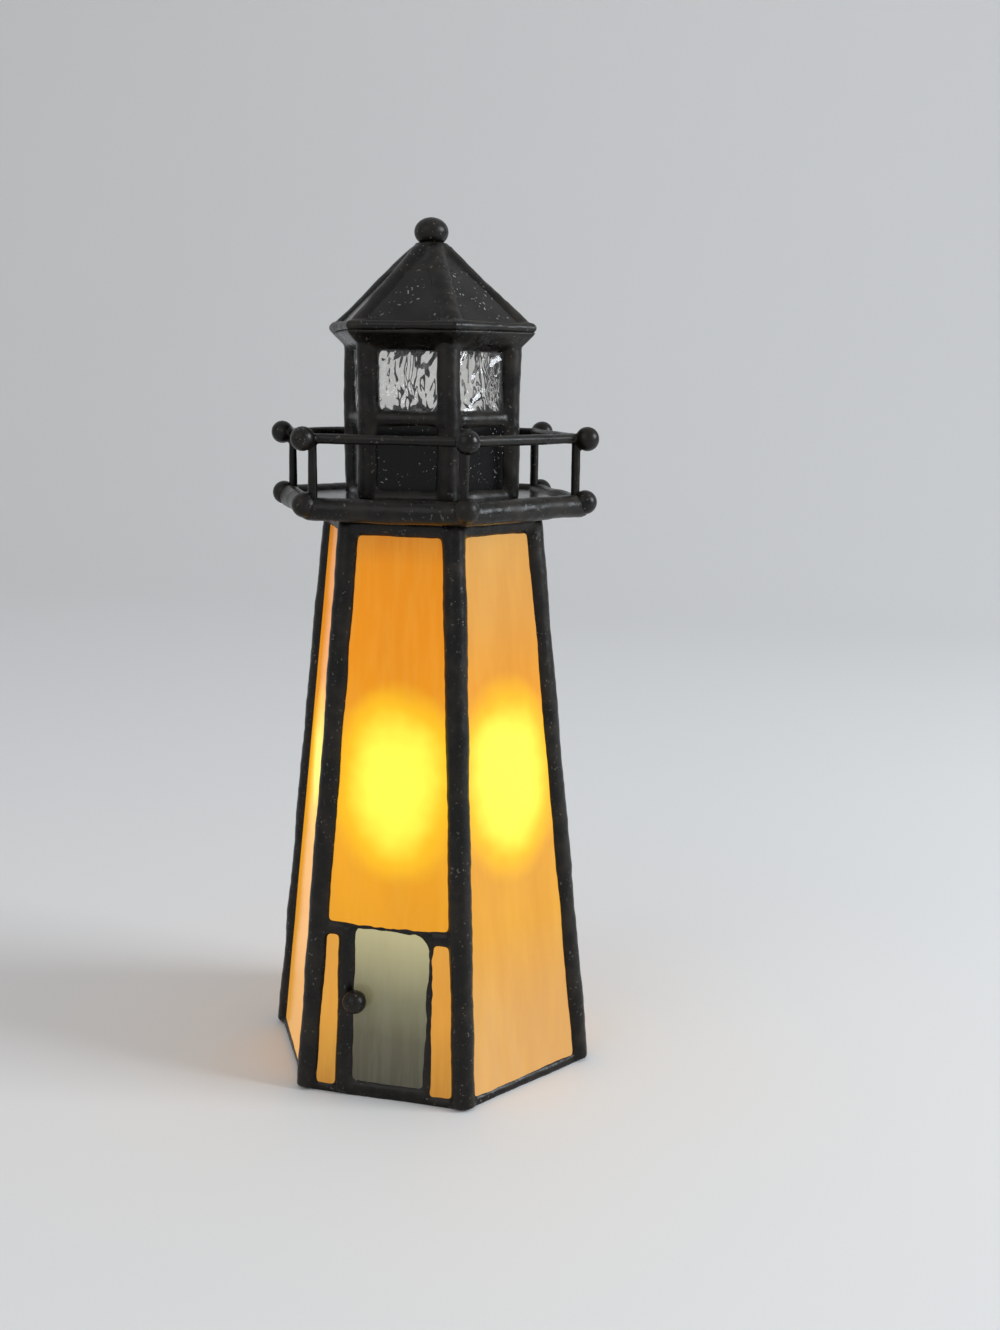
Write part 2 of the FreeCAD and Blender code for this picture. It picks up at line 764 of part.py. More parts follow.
roof_cap = fitted("roof_cap", turned("cap_form", [
    ("0", "cap_bottom"),
    ("cap_radius", "cap_bottom"),
    ("cap_radius", "(cap_bottom + cap_top) / 2"),
    ("cap_top_radius", "cap_top"),
    ("0", "cap_top"),
]), [finial_ball] + roof_panels)

# The ridge beads lie under the ridges of the glass, and run together near the top.
RIDGE_DEPTH = "(ridge_bead_radius - ridge_bead_proud)"
RIDGE_FOOT_RADIUS = (f"(eave_corner_radius - ridge_nose_setback"
                     f" - {RIDGE_DEPTH} * sin({RIDGE_SLOPE}))")
RIDGE_FOOT = (f"(eave_height + ridge_nose_setback * tan({RIDGE_SLOPE})"
              f" - {RIDGE_DEPTH} * cos({RIDGE_SLOPE}))")
RIDGE_HEAD = (f"({RIDGE_FOOT} + ({RIDGE_FOOT_RADIUS} - ridge_end_radius)"
              f" * tan({RIDGE_SLOPE}))")
ridge_forms = fuse("ridge_forms", corner_beads(
    "ridge_bead", RIDGE_FOOT_RADIUS, RIDGE_FOOT, "ridge_end_radius", RIDGE_HEAD,
    "ridge_bead_radius"))
roof_ridge_seams = fitted("roof_ridge_seams", ridge_forms,
                          roof_panels + [roof_cap, finial_ball, eave_seam, eave_cove,
                                         lantern_head_seam])

# ---------------------------------------------------------------- strap

STRAP_TOP = "(strap_bottom + strap_thickness)"
INNER_CORNER = (f"({tower_corner(STRAP_TOP)} - glass_thickness / (cos(30) * cos({TOWER_LEAN}))"
                " - strap_clearance)")
STRAP_END = (f"({tower_corner(STRAP_TOP)} - corner_bead_inset - corner_bead_radius"
             " - strap_clearance / 3)")
STRAP_SHOULDER = f"({INNER_CORNER} - strap_width / 2 / tan(60))"
TIP_HALF_WIDTH = f"(({INNER_CORNER} - {STRAP_END}) * tan(60))"

lamp_strap_form = new_body("strap_form")
pad(lamp_strap_form, outline(lamp_strap_form, "strap_outline", "XY_Plane", [
    (STRAP_SHOULDER, "-strap_width / 2"),
    (STRAP_END, f"-{TIP_HALF_WIDTH}"),
    (STRAP_END, TIP_HALF_WIDTH),
    (STRAP_SHOULDER, "strap_width / 2"),
    (f"-{STRAP_SHOULDER}", "strap_width / 2"),
    (f"-{STRAP_END}", TIP_HALF_WIDTH),
    (f"-{STRAP_END}", f"-{TIP_HALF_WIDTH}"),
    (f"-{STRAP_SHOULDER}", "-strap_width / 2"),
], shift(0, 0, "strap_bottom")), "strap_thickness", into=False)
for lip, edge in (("front", "-strap_width / 2"), ("rear", "strap_width / 2 - strap_thickness")):
    pad(lamp_strap_form, outline(lamp_strap_form, f"strap_lip_{lip}", "XY_Plane", [
        (f"-{STRAP_SHOULDER}", edge),
        (STRAP_SHOULDER, edge),
        (STRAP_SHOULDER, f"{edge} + strap_thickness"),
        (f"-{STRAP_SHOULDER}", f"{edge} + strap_thickness"),
    ], shift(0, 0, "strap_bottom - strap_lip")), "strap_lip", into=False)
lamp_strap = fitted("lamp_strap", lamp_strap_form, [
    rod("strap_hole", "strap_hole_radius", "strap_thickness * 3",
        shift(0, 0, "strap_bottom - strap_thickness"))])

tack_forms = new_body("tack_forms")
tack_profile = [("0", "-strap_tack_radius"), ("strap_tack_radius / 2", "-strap_tack_radius * cos(30)"),
                ("strap_tack_radius * cos(30)", "-strap_tack_radius / 2"),
                ("strap_tack_radius", "0"), ("0", "0")]
tack_sketch = outline(tack_forms, "tack_profile", "XZ_Plane", tack_profile,
                      shift(f"{STRAP_END} - strap_tack_radius / 2", "strap_bottom", 0))
pattern(tack_forms, revolve(tack_forms, tack_sketch), 2)
strap_solder_tacks = fitted("strap_solder_tacks", tack_forms,
                            [tower_corner_seams] + tower_glass)

# ---------------------------------------------------------------- lampholder

FLANGE_TOP = "(strap_bottom - holder_seat_gap)"
FLANGE_BOTTOM = f"({FLANGE_TOP} - holder_flange_thickness)"
SHELL_INSIDE = "(bulb_cap_radius + bulb_thread_clearance)"
SHELL_OUTSIDE = f"({SHELL_INSIDE} + shell_wall)"
SOCKET_FLOOR = "(holder_floor + holder_floor_thickness)"

holder_form = turned("holder_form", [
    ("holder_skirt_radius - holder_wall", "holder_bottom"),
    ("holder_skirt_radius", "holder_bottom"),
    ("holder_skirt_radius", FLANGE_BOTTOM),
    ("holder_flange_radius", FLANGE_BOTTOM),
    ("holder_flange_radius", FLANGE_TOP),
    ("holder_shoulder_radius", FLANGE_TOP),
    ("holder_shoulder_radius", "holder_shoulder_top"),
    ("holder_neck_radius", "holder_neck_bottom"),
    ("holder_neck_radius", "holder_top"),
    (SHELL_OUTSIDE, "holder_top"),
    (SHELL_OUTSIDE, SOCKET_FLOOR),
    ("0", SOCKET_FLOOR),
    ("0", "holder_floor"),
    ("holder_neck_radius - holder_wall", "holder_floor"),
    ("holder_neck_radius - holder_wall", "holder_neck_bottom - holder_wall"),
    ("holder_skirt_radius - holder_wall", "holder_shoulder_top - holder_wall"),
])

# Two bowed leaf springs are let into the shoulder and press on the rim of the strap's hole.
lampholder_clips = new_body("lampholder_clips")
CLIP_SEAT = "(holder_shoulder_radius - clip_thickness + clip_bow / 2)"
CLIP_ROOT = f"({FLANGE_TOP} - holder_flange_thickness / 2)"
STRAP_MIDDLE = "(strap_bottom + strap_thickness / 2)"
clip_outline = outline(lampholder_clips, "clip_outline", "XZ_Plane", [
    (CLIP_SEAT, CLIP_ROOT),
    (f"{CLIP_SEAT} + clip_thickness", CLIP_ROOT),
    (f"{CLIP_SEAT} + clip_thickness + clip_bow", STRAP_MIDDLE),
    (f"{CLIP_SEAT} + clip_thickness", "clip_top"),
    (CLIP_SEAT, "clip_top"),
    (f"{CLIP_SEAT} + clip_bow", STRAP_MIDDLE),
], shift(0, 0, "-clip_width / 2"))
pattern(lampholder_clips, pad(lampholder_clips, clip_outline, "clip_width", into=False), 2)

lampholder_body = fitted("lampholder_body", holder_form, [
    lampholder_clips,
    block("cord_slot", "holder_slot_width", "holder_skirt_radius",
          "holder_slot_height + holder_wall",
          shift("-holder_slot_width / 2", "holder_skirt_radius / 2",
                "holder_bottom - holder_wall")),
])

lampholder_shell = turned("lampholder_shell", [
    ("shell_seat_radius", SOCKET_FLOOR),
    (SHELL_OUTSIDE, SOCKET_FLOOR),
    (SHELL_OUTSIDE, "holder_top - shell_wall"),
    (SHELL_INSIDE, "holder_top - shell_wall"),
    (SHELL_INSIDE, f"{SOCKET_FLOOR} + shell_wall"),
    ("shell_seat_radius", f"{SOCKET_FLOOR} + shell_wall"),
])

lampholder_contact = turned("lampholder_contact", [
    ("0", SOCKET_FLOOR),
    ("contact_radius", SOCKET_FLOOR),
    ("contact_radius", f"{SOCKET_FLOOR} + shell_wall"),
    ("contact_radius / 2", f"{SOCKET_FLOOR} + contact_height"),
    ("0", f"{SOCKET_FLOOR} + contact_height"),
])

# ---------------------------------------------------------------- bulb

TIP_BOTTOM = f"({SOCKET_FLOOR} + contact_height + bulb_seat_gap)"
TIP_TOP = f"({TIP_BOTTOM} + bulb_tip_height)"
CAP_BOTTOM = f"({TIP_TOP} + bulb_insulator_height)"
CAP_TOP = f"({CAP_BOTTOM} + bulb_cap_length)"

bulb_tip = turned("bulb_tip", [
    ("0", TIP_BOTTOM),
    ("bulb_tip_radius * 0.7", TIP_BOTTOM),
    ("bulb_tip_radius", f"{TIP_BOTTOM} + bulb_tip_height / 2"),
    ("bulb_tip_radius", TIP_TOP),
    ("0", TIP_TOP),
])

bulb_insulator = turned("bulb_insulator", [
    ("0", TIP_TOP),
    ("bulb_tip_radius", TIP_TOP),
    ("bulb_cap_radius * 0.75", f"{CAP_BOTTOM} - bulb_insulator_height / 4"),
    ("bulb_cap_radius * 0.75", CAP_BOTTOM),
    ("0", CAP_BOTTOM),
])

bulb_cap = turned("bulb_cap", [
    ("0", CAP_BOTTOM),
    ("bulb_cap_radius * 0.8", CAP_BOTTOM),
    ("bulb_cap_radius", f"{CAP_BOTTOM} + bulb_cap_length / 10"),
    ("bulb_cap_radius", f"{CAP_TOP} - bulb_cap_length / 10"),
    ("bulb_neck_radius", CAP_TOP),
    ("0", CAP_TOP),
])

# The bulb is a slender drop: shares of its greatest radius at shares of its height.
DROP = [(0.49, 0.0), (0.53, 0.08), (0.74, 0.26), (0.94, 0.43), (1.0, 0.57), (0.93, 0.72),
        (0.72, 0.86), (0.4, 0.955), (0.12, 1.0)]
outside = []
inside = []
for radius_share, height_share in DROP:
    outside.append((f"bulb_radius * {radius_share}",
                    f"{CAP_TOP} + bulb_glass_height * {height_share}"))
    inside.append((f"(bulb_radius - bulb_wall) * {radius_share}",
                   f"{CAP_TOP} + (bulb_glass_height - bulb_wall) * {height_share}"))
bulb_glass = fitted("bulb_glass", round_stack("bulb_outside", outside),
                    [round_stack("bulb_inside", inside)])

STEM_TOP = f"({CAP_TOP} + bulb_stem_height)"
filament_top = f"{STEM_TOP} + filament_lead_length"
bulb_filament = fuse("bulb_filament", [
    rod("stem", "bulb_stem_radius", "bulb_stem_height", shift(0, 0, CAP_TOP)),
    rod("lead_left", "filament_lead_radius",
        "sqrt(filament_lead_length ^ 2 + filament_spread ^ 2)",
        shift(0, 0, f"{STEM_TOP} - filament_lead_radius") + " * "
        + turn(Y_AXIS, "-atan(filament_spread / filament_lead_length)")),
    rod("lead_right", "filament_lead_radius",
        "sqrt(filament_lead_length ^ 2 + filament_spread ^ 2)",
        shift(0, 0, f"{STEM_TOP} - filament_lead_radius") + " * "
        + turn(Y_AXIS, "atan(filament_spread / filament_lead_length)")),
    rod("filament_coil", "filament_lead_radius * 1.5", "filament_spread * 2",
        shift("-filament_spread", 0, f"{filament_top} - filament_lead_radius * 2") + " * "
        + turn(Y_AXIS, 90)),
])

# ---------------------------------------------------------------- check and write

NODES = (
    [panel_front] + tower_panels
    + [door_strip_left, door_strip_right, door_pane, door_knob,
       tower_corner_seams, lintel_seam, jamb_seam_left, jamb_seam_right,
       base_seam, tower_top_seam,
       deck_plate, deck_rim, rail_posts, hand_rails, rail_balls, foot_balls]
    + lantern_walls + window_panes
    + [lantern_corner_seams, sill_seams, lantern_foot_seam, lantern_head_seam, eave_cove,
       eave_seam]
    + roof_panels
    + [roof_ridge_seams, roof_cap, finial_ball, lamp_strap, strap_solder_tacks,
       lampholder_body, lampholder_clips, lampholder_shell, lampholder_contact,
       bulb_tip, bulb_insulator, bulb_cap, bulb_glass, bulb_filament]
)

doc.recompute()
for item in doc.Objects:
    if "Invalid" in item.State or "Error" in item.State:
        raise RuntimeError(f"{item.Label} did not build: {item.State}")

os.makedirs("parts", exist_ok=True)
for node in NODES:
    if node.Shape.isNull() or not node.Shape.isValid() or not node.Shape.Solids:
        raise RuntimeError(f"{node.Label} has no valid solid")
    node.Shape.exportStep(f"parts/{node.Label}.step")
    print(f"{node.Label}: {len(node.Shape.Solids)} solids, {node.Shape.Volume:.1f} mm3")
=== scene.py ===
# %% [markdown]
# # A stained-glass lighthouse lamp
# This lesson dresses a solid model of a small table lamp. Flat sheets of glass stay as
# they come, and everything that was soldered, rolled or blown by hand is modelled again.
# The first cell loads the solid model in metres. The sizes below are in millimetres, the
# unit in which such a lamp is drawn, and MM turns them into metres.

# %% Load the solid model
import math
import bmesh
import bpy
from mathutils import Matrix, Vector, noise


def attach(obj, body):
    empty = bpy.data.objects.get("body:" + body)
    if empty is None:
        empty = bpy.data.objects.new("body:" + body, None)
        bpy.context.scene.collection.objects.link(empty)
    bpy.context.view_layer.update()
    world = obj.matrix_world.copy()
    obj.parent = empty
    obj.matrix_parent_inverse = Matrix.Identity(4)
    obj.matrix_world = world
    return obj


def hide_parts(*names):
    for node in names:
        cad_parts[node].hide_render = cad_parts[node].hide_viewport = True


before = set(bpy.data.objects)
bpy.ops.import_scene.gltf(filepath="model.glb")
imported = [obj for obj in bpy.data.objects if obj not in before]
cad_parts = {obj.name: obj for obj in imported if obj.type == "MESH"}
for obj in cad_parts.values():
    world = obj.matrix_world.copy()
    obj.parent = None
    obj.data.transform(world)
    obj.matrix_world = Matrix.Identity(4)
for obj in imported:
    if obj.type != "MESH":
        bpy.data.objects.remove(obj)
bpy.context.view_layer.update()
MM = 0.001

# %% [markdown]
# ## The camera
# The photograph was taken a little above the lamp, from in front and to the right. The
# camera could be aimed by eye, but here its place and turn were fitted to corners in the
# photograph, so they are written as numbers and turned into one matrix.

# %% Camera at the photograph's angle
AZIMUTH, YAW, PITCH, ROLL = (math.radians(a) for a in (18.04, 2.64, 10.71, 0.66))
CAMERA_DISTANCE, CAMERA_HEIGHT = 0.4178, 0.1891
LENS_MM, SENSOR_MM = 41.72, 36
ahead = Vector((-math.sin(AZIMUTH), math.cos(AZIMUTH), 0))
across = Vector((math.cos(AZIMUTH), math.sin(AZIMUTH), 0))
level = ahead * math.cos(YAW) + across * math.sin(YAW)
across = across * math.cos(YAW) - ahead * math.sin(YAW)
view = level * math.cos(PITCH) - Vector((0, 0, 1)) * math.sin(PITCH)
over = Vector((0, 0, 1)) * math.cos(PITCH) + level * math.sin(PITCH)
right = across * math.cos(ROLL) + over * math.sin(ROLL)
upward = over * math.cos(ROLL) - across * math.sin(ROLL)
camera = bpy.data.objects.new("camera", bpy.data.cameras.new("camera"))
camera.matrix_world = Matrix.Translation(
    (CAMERA_DISTANCE * math.sin(AZIMUTH), -CAMERA_DISTANCE * math.cos(AZIMUTH), CAMERA_HEIGHT)
) @ Matrix((right, upward, -view)).transposed().to_4x4()
camera.data.sensor_fit = "VERTICAL"
camera.data.sensor_height = SENSOR_MM
camera.data.lens = LENS_MM
camera.data.clip_start = 0.01
bpy.context.scene.collection.objects.link(camera)
bpy.context.scene.camera = camera
print("camera at", tuple(round(c, 3) for c in camera.location))

# %% [markdown]
# ## Helpers for the workshop
# A lamp like this is six equal sides about one axis, so points are given by radius, turn
# and height. Rods and balls are the wire and beads that a maker buys. Each helper adds to
# an open bmesh, so that a whole run of solder can be gathered before it is fused.

# %% Points, rods and balls
SIDES = ["front", "front_right", "back_right", "rear", "back_left", "front_left"]
COS30 = math.cos(math.radians(30))


def point_at(radius, turn_deg, height):
    """A point in metres, from its radius, its angle about the axis and its height."""
    angle = math.radians(turn_deg)
    return Vector((radius * math.cos(angle), radius * math.sin(angle), height)) * MM


def add_rod(bm, start, end, radius, segments=20):
    """A round rod with flat ends between two points."""
    run = end - start
    turn = run.to_track_quat("Z", "Y").to_matrix().to_4x4()
    bmesh.ops.create_cone(bm, cap_ends=True, segments=segments, radius1=radius * MM,
                          radius2=radius * MM, depth=run.length,
                          matrix=Matrix.Translation((start + end) / 2) @ turn)


def add_ball(bm, centre, radius, flat=1.0, segments=24):
    """A ball, which a flat below 1 presses down along its height."""
    place = Matrix.Translation(centre) @ Matrix.Diagonal((1, 1, flat, 1))
    bmesh.ops.create_uvsphere(bm, u_segments=segments, v_segments=segments // 2,
                              radius=radius * MM, matrix=place)


print("second corner of a 10 mm hexagon:", point_at(10, 60, 0)[:])

# %% [markdown]
# A bead that follows the hexagon could be put together from six rods, but their ends
# would leave notches at the corners. Here a closed section stands at one corner and is
# spun about the axis in six steps, so the corners come out mitred.

# %% Rings that follow the hexagon
def edges_of(verts):
    """The edges at some vertices, each once and always in the same order."""
    return list(dict.fromkeys(edge for vertex in verts for edge in vertex.link_edges))


def spin_round(bm, geometry, steps):
    bmesh.ops.spin(bm, geom=geometry, cent=(0, 0, 0), axis=(0, 0, 1), dvec=(0, 0, 0),
                   angle=math.tau, steps=steps, use_merge=True)


def add_ring(bm, corner_radius, height, radius, segments=20):
    """A round bead along a hexagon. At a corner its section is wider, as in any mitre."""
    place = Matrix.Translation(point_at(corner_radius, 0, height)) @ Matrix.Diagonal(
        (1 / COS30, 1, 1, 1)) @ Matrix.Rotation(math.radians(90), 4, "X")
    section = bmesh.ops.create_circle(bm, segments=segments, radius=radius * MM, matrix=place)
    spin_round(bm, section["verts"] + edges_of(section["verts"]), 6)


def add_profile_ring(bm, points, steps):
    """A ring with a closed section of (radius, height) points."""
    corners = [bm.verts.new(point_at(radius, 0, height)) for radius, height in points]
    sides = [bm.edges.new(pair) for pair in zip(corners, corners[1:] + corners[:1])]
    spin_round(bm, corners + sides, steps)


print("a section is wider at a corner by", round(1 / COS30, 3))

# %% [markdown]
# ## Turning a bmesh into a piece
# Every finished piece needs the same care: doubles merged, normals outwards, smooth
# shading, a name, the body that it rides on, and the solid nodes that it stands for. A
# helper does it all, so that no piece misses a step.

# %% Make a piece
MERGE_DISTANCE = 1e-6


def link_mesh(name, bm, material):
    """A smooth-shaded object in the scene, made from a bmesh."""
    mesh = bpy.data.meshes.new(name)
    bm.to_mesh(mesh)
    bm.free()
    for polygon in mesh.polygons:
        polygon.use_smooth = True
    mesh.materials.append(material)
    made = bpy.data.objects.new(name, mesh)
    bpy.context.scene.collection.objects.link(made)
    return made


def finish_piece(name, bm, body, nodes, material):
    bmesh.ops.remove_doubles(bm, verts=bm.verts, dist=MERGE_DISTANCE)
    bmesh.ops.recalc_face_normals(bm, faces=bm.faces)
    piece = link_mesh(name, bm, material)
    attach(piece, body)
    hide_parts(*nodes)
    print(f"{name}: {len(piece.data.polygons)} faces, stands for {len(nodes)} nodes")


# %% [markdown]
# ## Making solder flow
# Real solder runs together where beads meet, and its surface is never quite even. The
# beads could be joined with booleans, which leave sharp creases. A voxel remesh melts
# them into one skin instead, a little smoothing rounds the meetings, and two sizes of
# noise push the skin in and out like solder that set while the iron moved.

# %% Fuse beads into one skin of solder
BROAD_LUMP, FINE_LUMP = 13, 2.6


def melt(rough, voxel):
    """A new bmesh: the beads of one bmesh remeshed into a single skin."""
    bmesh.ops.recalc_face_normals(rough, faces=rough.faces)
    mesh = bpy.data.meshes.new("rough_solder")
    rough.to_mesh(mesh)
    rough.free()
    lump = bpy.data.objects.new("rough_solder", mesh)
    bpy.context.scene.collection.objects.link(lump)
    remesh = lump.modifiers.new("melt", "REMESH")
    remesh.mode = "VOXEL"
    remesh.voxel_size = voxel * MM
    melted = bpy.data.meshes.new_from_object(
        lump.evaluated_get(bpy.context.evaluated_depsgraph_get()))
    skin = bmesh.new()
    skin.from_mesh(melted)
    bpy.data.objects.remove(lump)
    bpy.data.meshes.remove(mesh)
    bpy.data.meshes.remove(melted)
    return skin


def flow_solder(rough, voxel, soften, swell, ripple, seed):
    """Melted beads, smoothed a few times and made uneven by a broad and a fine noise."""
    skin = melt(rough, voxel)
    for _ in range(soften):
        bmesh.ops.smooth_vert(skin, verts=skin.verts, factor=0.5, use_axis_x=True,
                              use_axis_y=True, use_axis_z=True)
    skin.normal_update()
    for vertex in skin.verts:
        spot = vertex.co / MM + Vector((seed, seed * 2, 0))
        push = swell * noise.noise(spot / BROAD_LUMP) + ripple * noise.noise(spot / FINE_LUMP)
        vertex.co += vertex.normal * (push - swell / 3) * MM
    print(f"solder skin: {len(skin.verts)} points at {voxel} mm")
    return skin


# %% [markdown]
# ## Shared surface effects
# Four effects come back in several materials, so each is a node group that is built once:
# patina, dust, the glow of the bulb and the wisps of rolled glass. Small helpers keep the
# groups readable. One starts a group with its sockets, the others each add one node.

# %% Start a node group, add arithmetic
def new_group(name, inputs, outputs):
    group = bpy.data.node_groups.new(name, "ShaderNodeTree")
    for label, kind, start in inputs:
        socket = group.interface.new_socket(name=label, in_out="INPUT", socket_type=kind)
        socket.default_value = start
    for label, kind in outputs:
        group.interface.new_socket(name=label, in_out="OUTPUT", socket_type=kind)
    return group, group.nodes.new("NodeGroupInput"), group.nodes.new("NodeGroupOutput")


def feed(tree, socket, given):
    """Set a socket to a number or a colour, or link it to another node's output."""
    if isinstance(given, (int, float)):
        socket.default_value = given
    elif isinstance(given, tuple):
        socket.default_value = (*given, 1)
    else:
        tree.links.new(given, socket)


def math_node(tree, operation, *given, clamp=False):
    node = tree.nodes.new("ShaderNodeMath")
    node.operation = operation
    node.use_clamp = clamp
    for socket, number in zip(node.inputs, given):
        feed(tree, socket, number)
    return node.outputs[0]


print("node groups so far:", len(bpy.data.node_groups))

# %% [markdown]
# Noise could follow the picture or the camera, but then it would swim when the lamp is
# turned. It follows the object's own coordinates instead, and can be drawn out along an
# axis. A range node then picks the part of the noise that counts, and a mix lays one
# colour over another.

# %% Noise, ranges and mixes
def noise_node(tree, scale, detail=2.0, roughness=0.5, stretch=(1, 1, 1)):
    place = tree.nodes.new("ShaderNodeTexCoord")
    mapping = tree.nodes.new("ShaderNodeMapping")
    mapping.inputs["Scale"].default_value = stretch
    pattern = tree.nodes.new("ShaderNodeTexNoise")
    pattern.inputs["Scale"].default_value = scale
    pattern.inputs["Detail"].default_value = detail
    pattern.inputs["Roughness"].default_value = roughness
    tree.links.new(place.outputs["Object"], mapping.inputs["Vector"])
    tree.links.new(mapping.outputs["Vector"], pattern.inputs["Vector"])
    return pattern.outputs["Fac"]


def range_node(tree, given, low, high, to_low=0.0, to_high=1.0):
    node = tree.nodes.new("ShaderNodeMapRange")
    node.interpolation_type = "SMOOTHSTEP"
    for label, number in (("From Min", low), ("From Max", high),
                          ("To Min", to_low), ("To Max", to_high)):
        node.inputs[label].default_value = number
    tree.links.new(given, node.inputs["Value"])
    return node.outputs["Result"]


def mix_node(tree, share, first, second):
    node = tree.nodes.new("ShaderNodeMix")
    node.data_type = "RGBA"
    for number, given in ((0, share), (6, first), (7, second)):
        feed(tree, node.inputs[number], given)
    return node.outputs[2]


print("helpers for noise, ranges and mixes, groups so far:", len(bpy.data.node_groups))

# %% [markdown]
# ### Patina
# A maker wipes patina on to bright solder, which turns it black. Where fingers rub, it
# wears to brown. Clouds of noise say where it is worn and how glossy it is, and a finer
# noise adds flecks. A painted texture would also do, but noise needs no unwrapping.

# %% Patina on solder and wire
def build_patina():
    group, given, out = new_group(
        "Patina",
        [("Dark", "NodeSocketColor", (0.0045, 0.0038, 0.003, 1)),
         ("Worn", "NodeSocketColor", (0.030, 0.023, 0.015, 1)),
         ("Wear", "NodeSocketFloat", 0.35)],
        [("Color", "NodeSocketColor"), ("Roughness", "NodeSocketFloat"),
         ("Height", "NodeSocketFloat")])
    clouds = noise_node(group, 140, 4, 0.6)
    specks = noise_node(group, 900, 3, 0.6)
    patches = range_node(group, clouds, 0.42, 0.72)
    rubbed = math_node(group, "MULTIPLY", patches, given.outputs["Wear"])
    colour = mix_node(group, rubbed, given.outputs["Dark"], given.outputs["Worn"])
    flecks = range_node(group, specks, 0.66, 0.74, 0, 0.5)
    colour = mix_node(group, flecks, colour, given.outputs["Worn"])
    sheen = range_node(group, clouds, 0.3, 0.75, 0.24, 0.46)
    height = math_node(group, "MULTIPLY_ADD", specks, 0.35, clouds)
    group.links.new(colour, out.inputs["Color"])
    group.links.new(sheen, out.inputs["Roughness"])
    group.links.new(height, out.inputs["Height"])
    return group


PATINA = build_patina()
print("Patina:", len(PATINA.nodes), "nodes")

# %% [markdown]
# ### Dust
# Dust settles on what faces up: a thin film everywhere, and single grains in loose
# clusters. The surface's own normal says what faces up, so the same group serves the deck,
# the roof and the rails, and it covers whatever colour it is given.

# %% Dust on what faces up
DUST_COLOUR = (0.36, 0.33, 0.28)


def build_dust():
    group, given, out = new_group(
        "Dust",
        [("Color", "NodeSocketColor", (0.02, 0.02, 0.02, 1)),
         ("Roughness", "NodeSocketFloat", 0.2),
         ("Film", "NodeSocketFloat", 0.3), ("Specks", "NodeSocketFloat", 0.5)],
        [("Color", "NodeSocketColor"), ("Roughness", "NodeSocketFloat")])
    facing = group.nodes.new("ShaderNodeNewGeometry")
    parts = group.nodes.new("ShaderNodeSeparateXYZ")
    group.links.new(facing.outputs["Normal"], parts.inputs["Vector"])
    upward_face = range_node(group, parts.outputs["Z"], 0.35, 1.0)
    thickness = range_node(group, noise_node(group, 120, 4), 0.3, 0.7, 0.35, 1.0)
    film = math_node(group, "MULTIPLY", upward_face, given.outputs["Film"])
    film = math_node(group, "MULTIPLY", film, thickness)
    grains = range_node(group, noise_node(group, 1300, 1, 0.4), 0.67, 0.72)
    clusters = range_node(group, noise_node(group, 160, 2), 0.42, 0.6)
    grains = math_node(group, "MULTIPLY", grains, clusters)
    grains = math_node(group, "MULTIPLY", grains, given.outputs["Specks"])
    cover = math_node(group, "MAXIMUM", film, grains, clamp=True)
    rough = math_node(group, "MULTIPLY_ADD", cover, 0.5, given.outputs["Roughness"], clamp=True)
    group.links.new(mix_node(group, cover, given.outputs["Color"], DUST_COLOUR),
                    out.inputs["Color"])
    group.links.new(rough, out.inputs["Roughness"])
    return group


DUST = build_dust()
print("Dust:", len(DUST.nodes), "nodes")

# %% [markdown]
# ### Glow
# The bulb glows behind the middle of each side. The glass that is nearest to the bulb is
# brightest, so the distance from the bulb, with height counted at seven tenths, gives a
# soft oval on every side. It comes from the glass's own coordinates, so it stays put in
# any view. The group also gives the height up the tower, from 0 at the foot to 1.

# %% Glow behind the glass
TOWER_TOP = 151.0
BULB_OFF_AXIS = (0.0012, -0.0010)
OVAL = 0.7


def build_glow():
    group, given, out = new_group(
        "Glow",
        [("Bulb Height", "NodeSocketFloat", 0.0785), ("Near", "NodeSocketFloat", 0.0308),
         ("Far", "NodeSocketFloat", 0.0366)],
        [("Glow", "NodeSocketFloat"), ("Height", "NodeSocketFloat")])
    place = group.nodes.new("ShaderNodeTexCoord")
    parts = group.nodes.new("ShaderNodeSeparateXYZ")
    group.links.new(place.outputs["Object"], parts.inputs["Vector"])
    wander = math_node(group, "MULTIPLY_ADD", noise_node(group, 80, 2), 0.0024, -0.0012)
    x = math_node(group, "SUBTRACT", parts.outputs["X"], BULB_OFF_AXIS[0])
    y = math_node(group, "SUBTRACT", parts.outputs["Y"], BULB_OFF_AXIS[1])
    rise = math_node(group, "SUBTRACT", parts.outputs["Z"], given.outputs["Bulb Height"])
    z = math_node(group, "MULTIPLY", rise, OVAL)
    squares = [math_node(group, "MULTIPLY", part, part) for part in (x, y, z)]
    total = math_node(group, "ADD", math_node(group, "ADD", squares[0], squares[1]), squares[2])
    away = math_node(group, "ADD", math_node(group, "SQRT", total), wander)
    span = math_node(group, "SUBTRACT", given.outputs["Far"], given.outputs["Near"])
    near = math_node(group, "SUBTRACT", given.outputs["Far"], away)
    near = math_node(group, "DIVIDE", near, span, clamp=True)
    group.links.new(near, out.inputs["Glow"])
    height = math_node(group, "DIVIDE", parts.outputs["Z"], TOWER_TOP * MM)
    group.links.new(height, out.inputs["Height"])
    return group


GLOW = build_glow()
print("Glow:", len(GLOW.nodes), "nodes")

# %% [markdown]
# ### Wisps
# Opalescent sheet glass is rolled from two colours that don't quite mix. Its wisps run
# along the sheet, so the noise is drawn out along the height, in a broad and a fine size.
# A wave texture would be too regular for this.

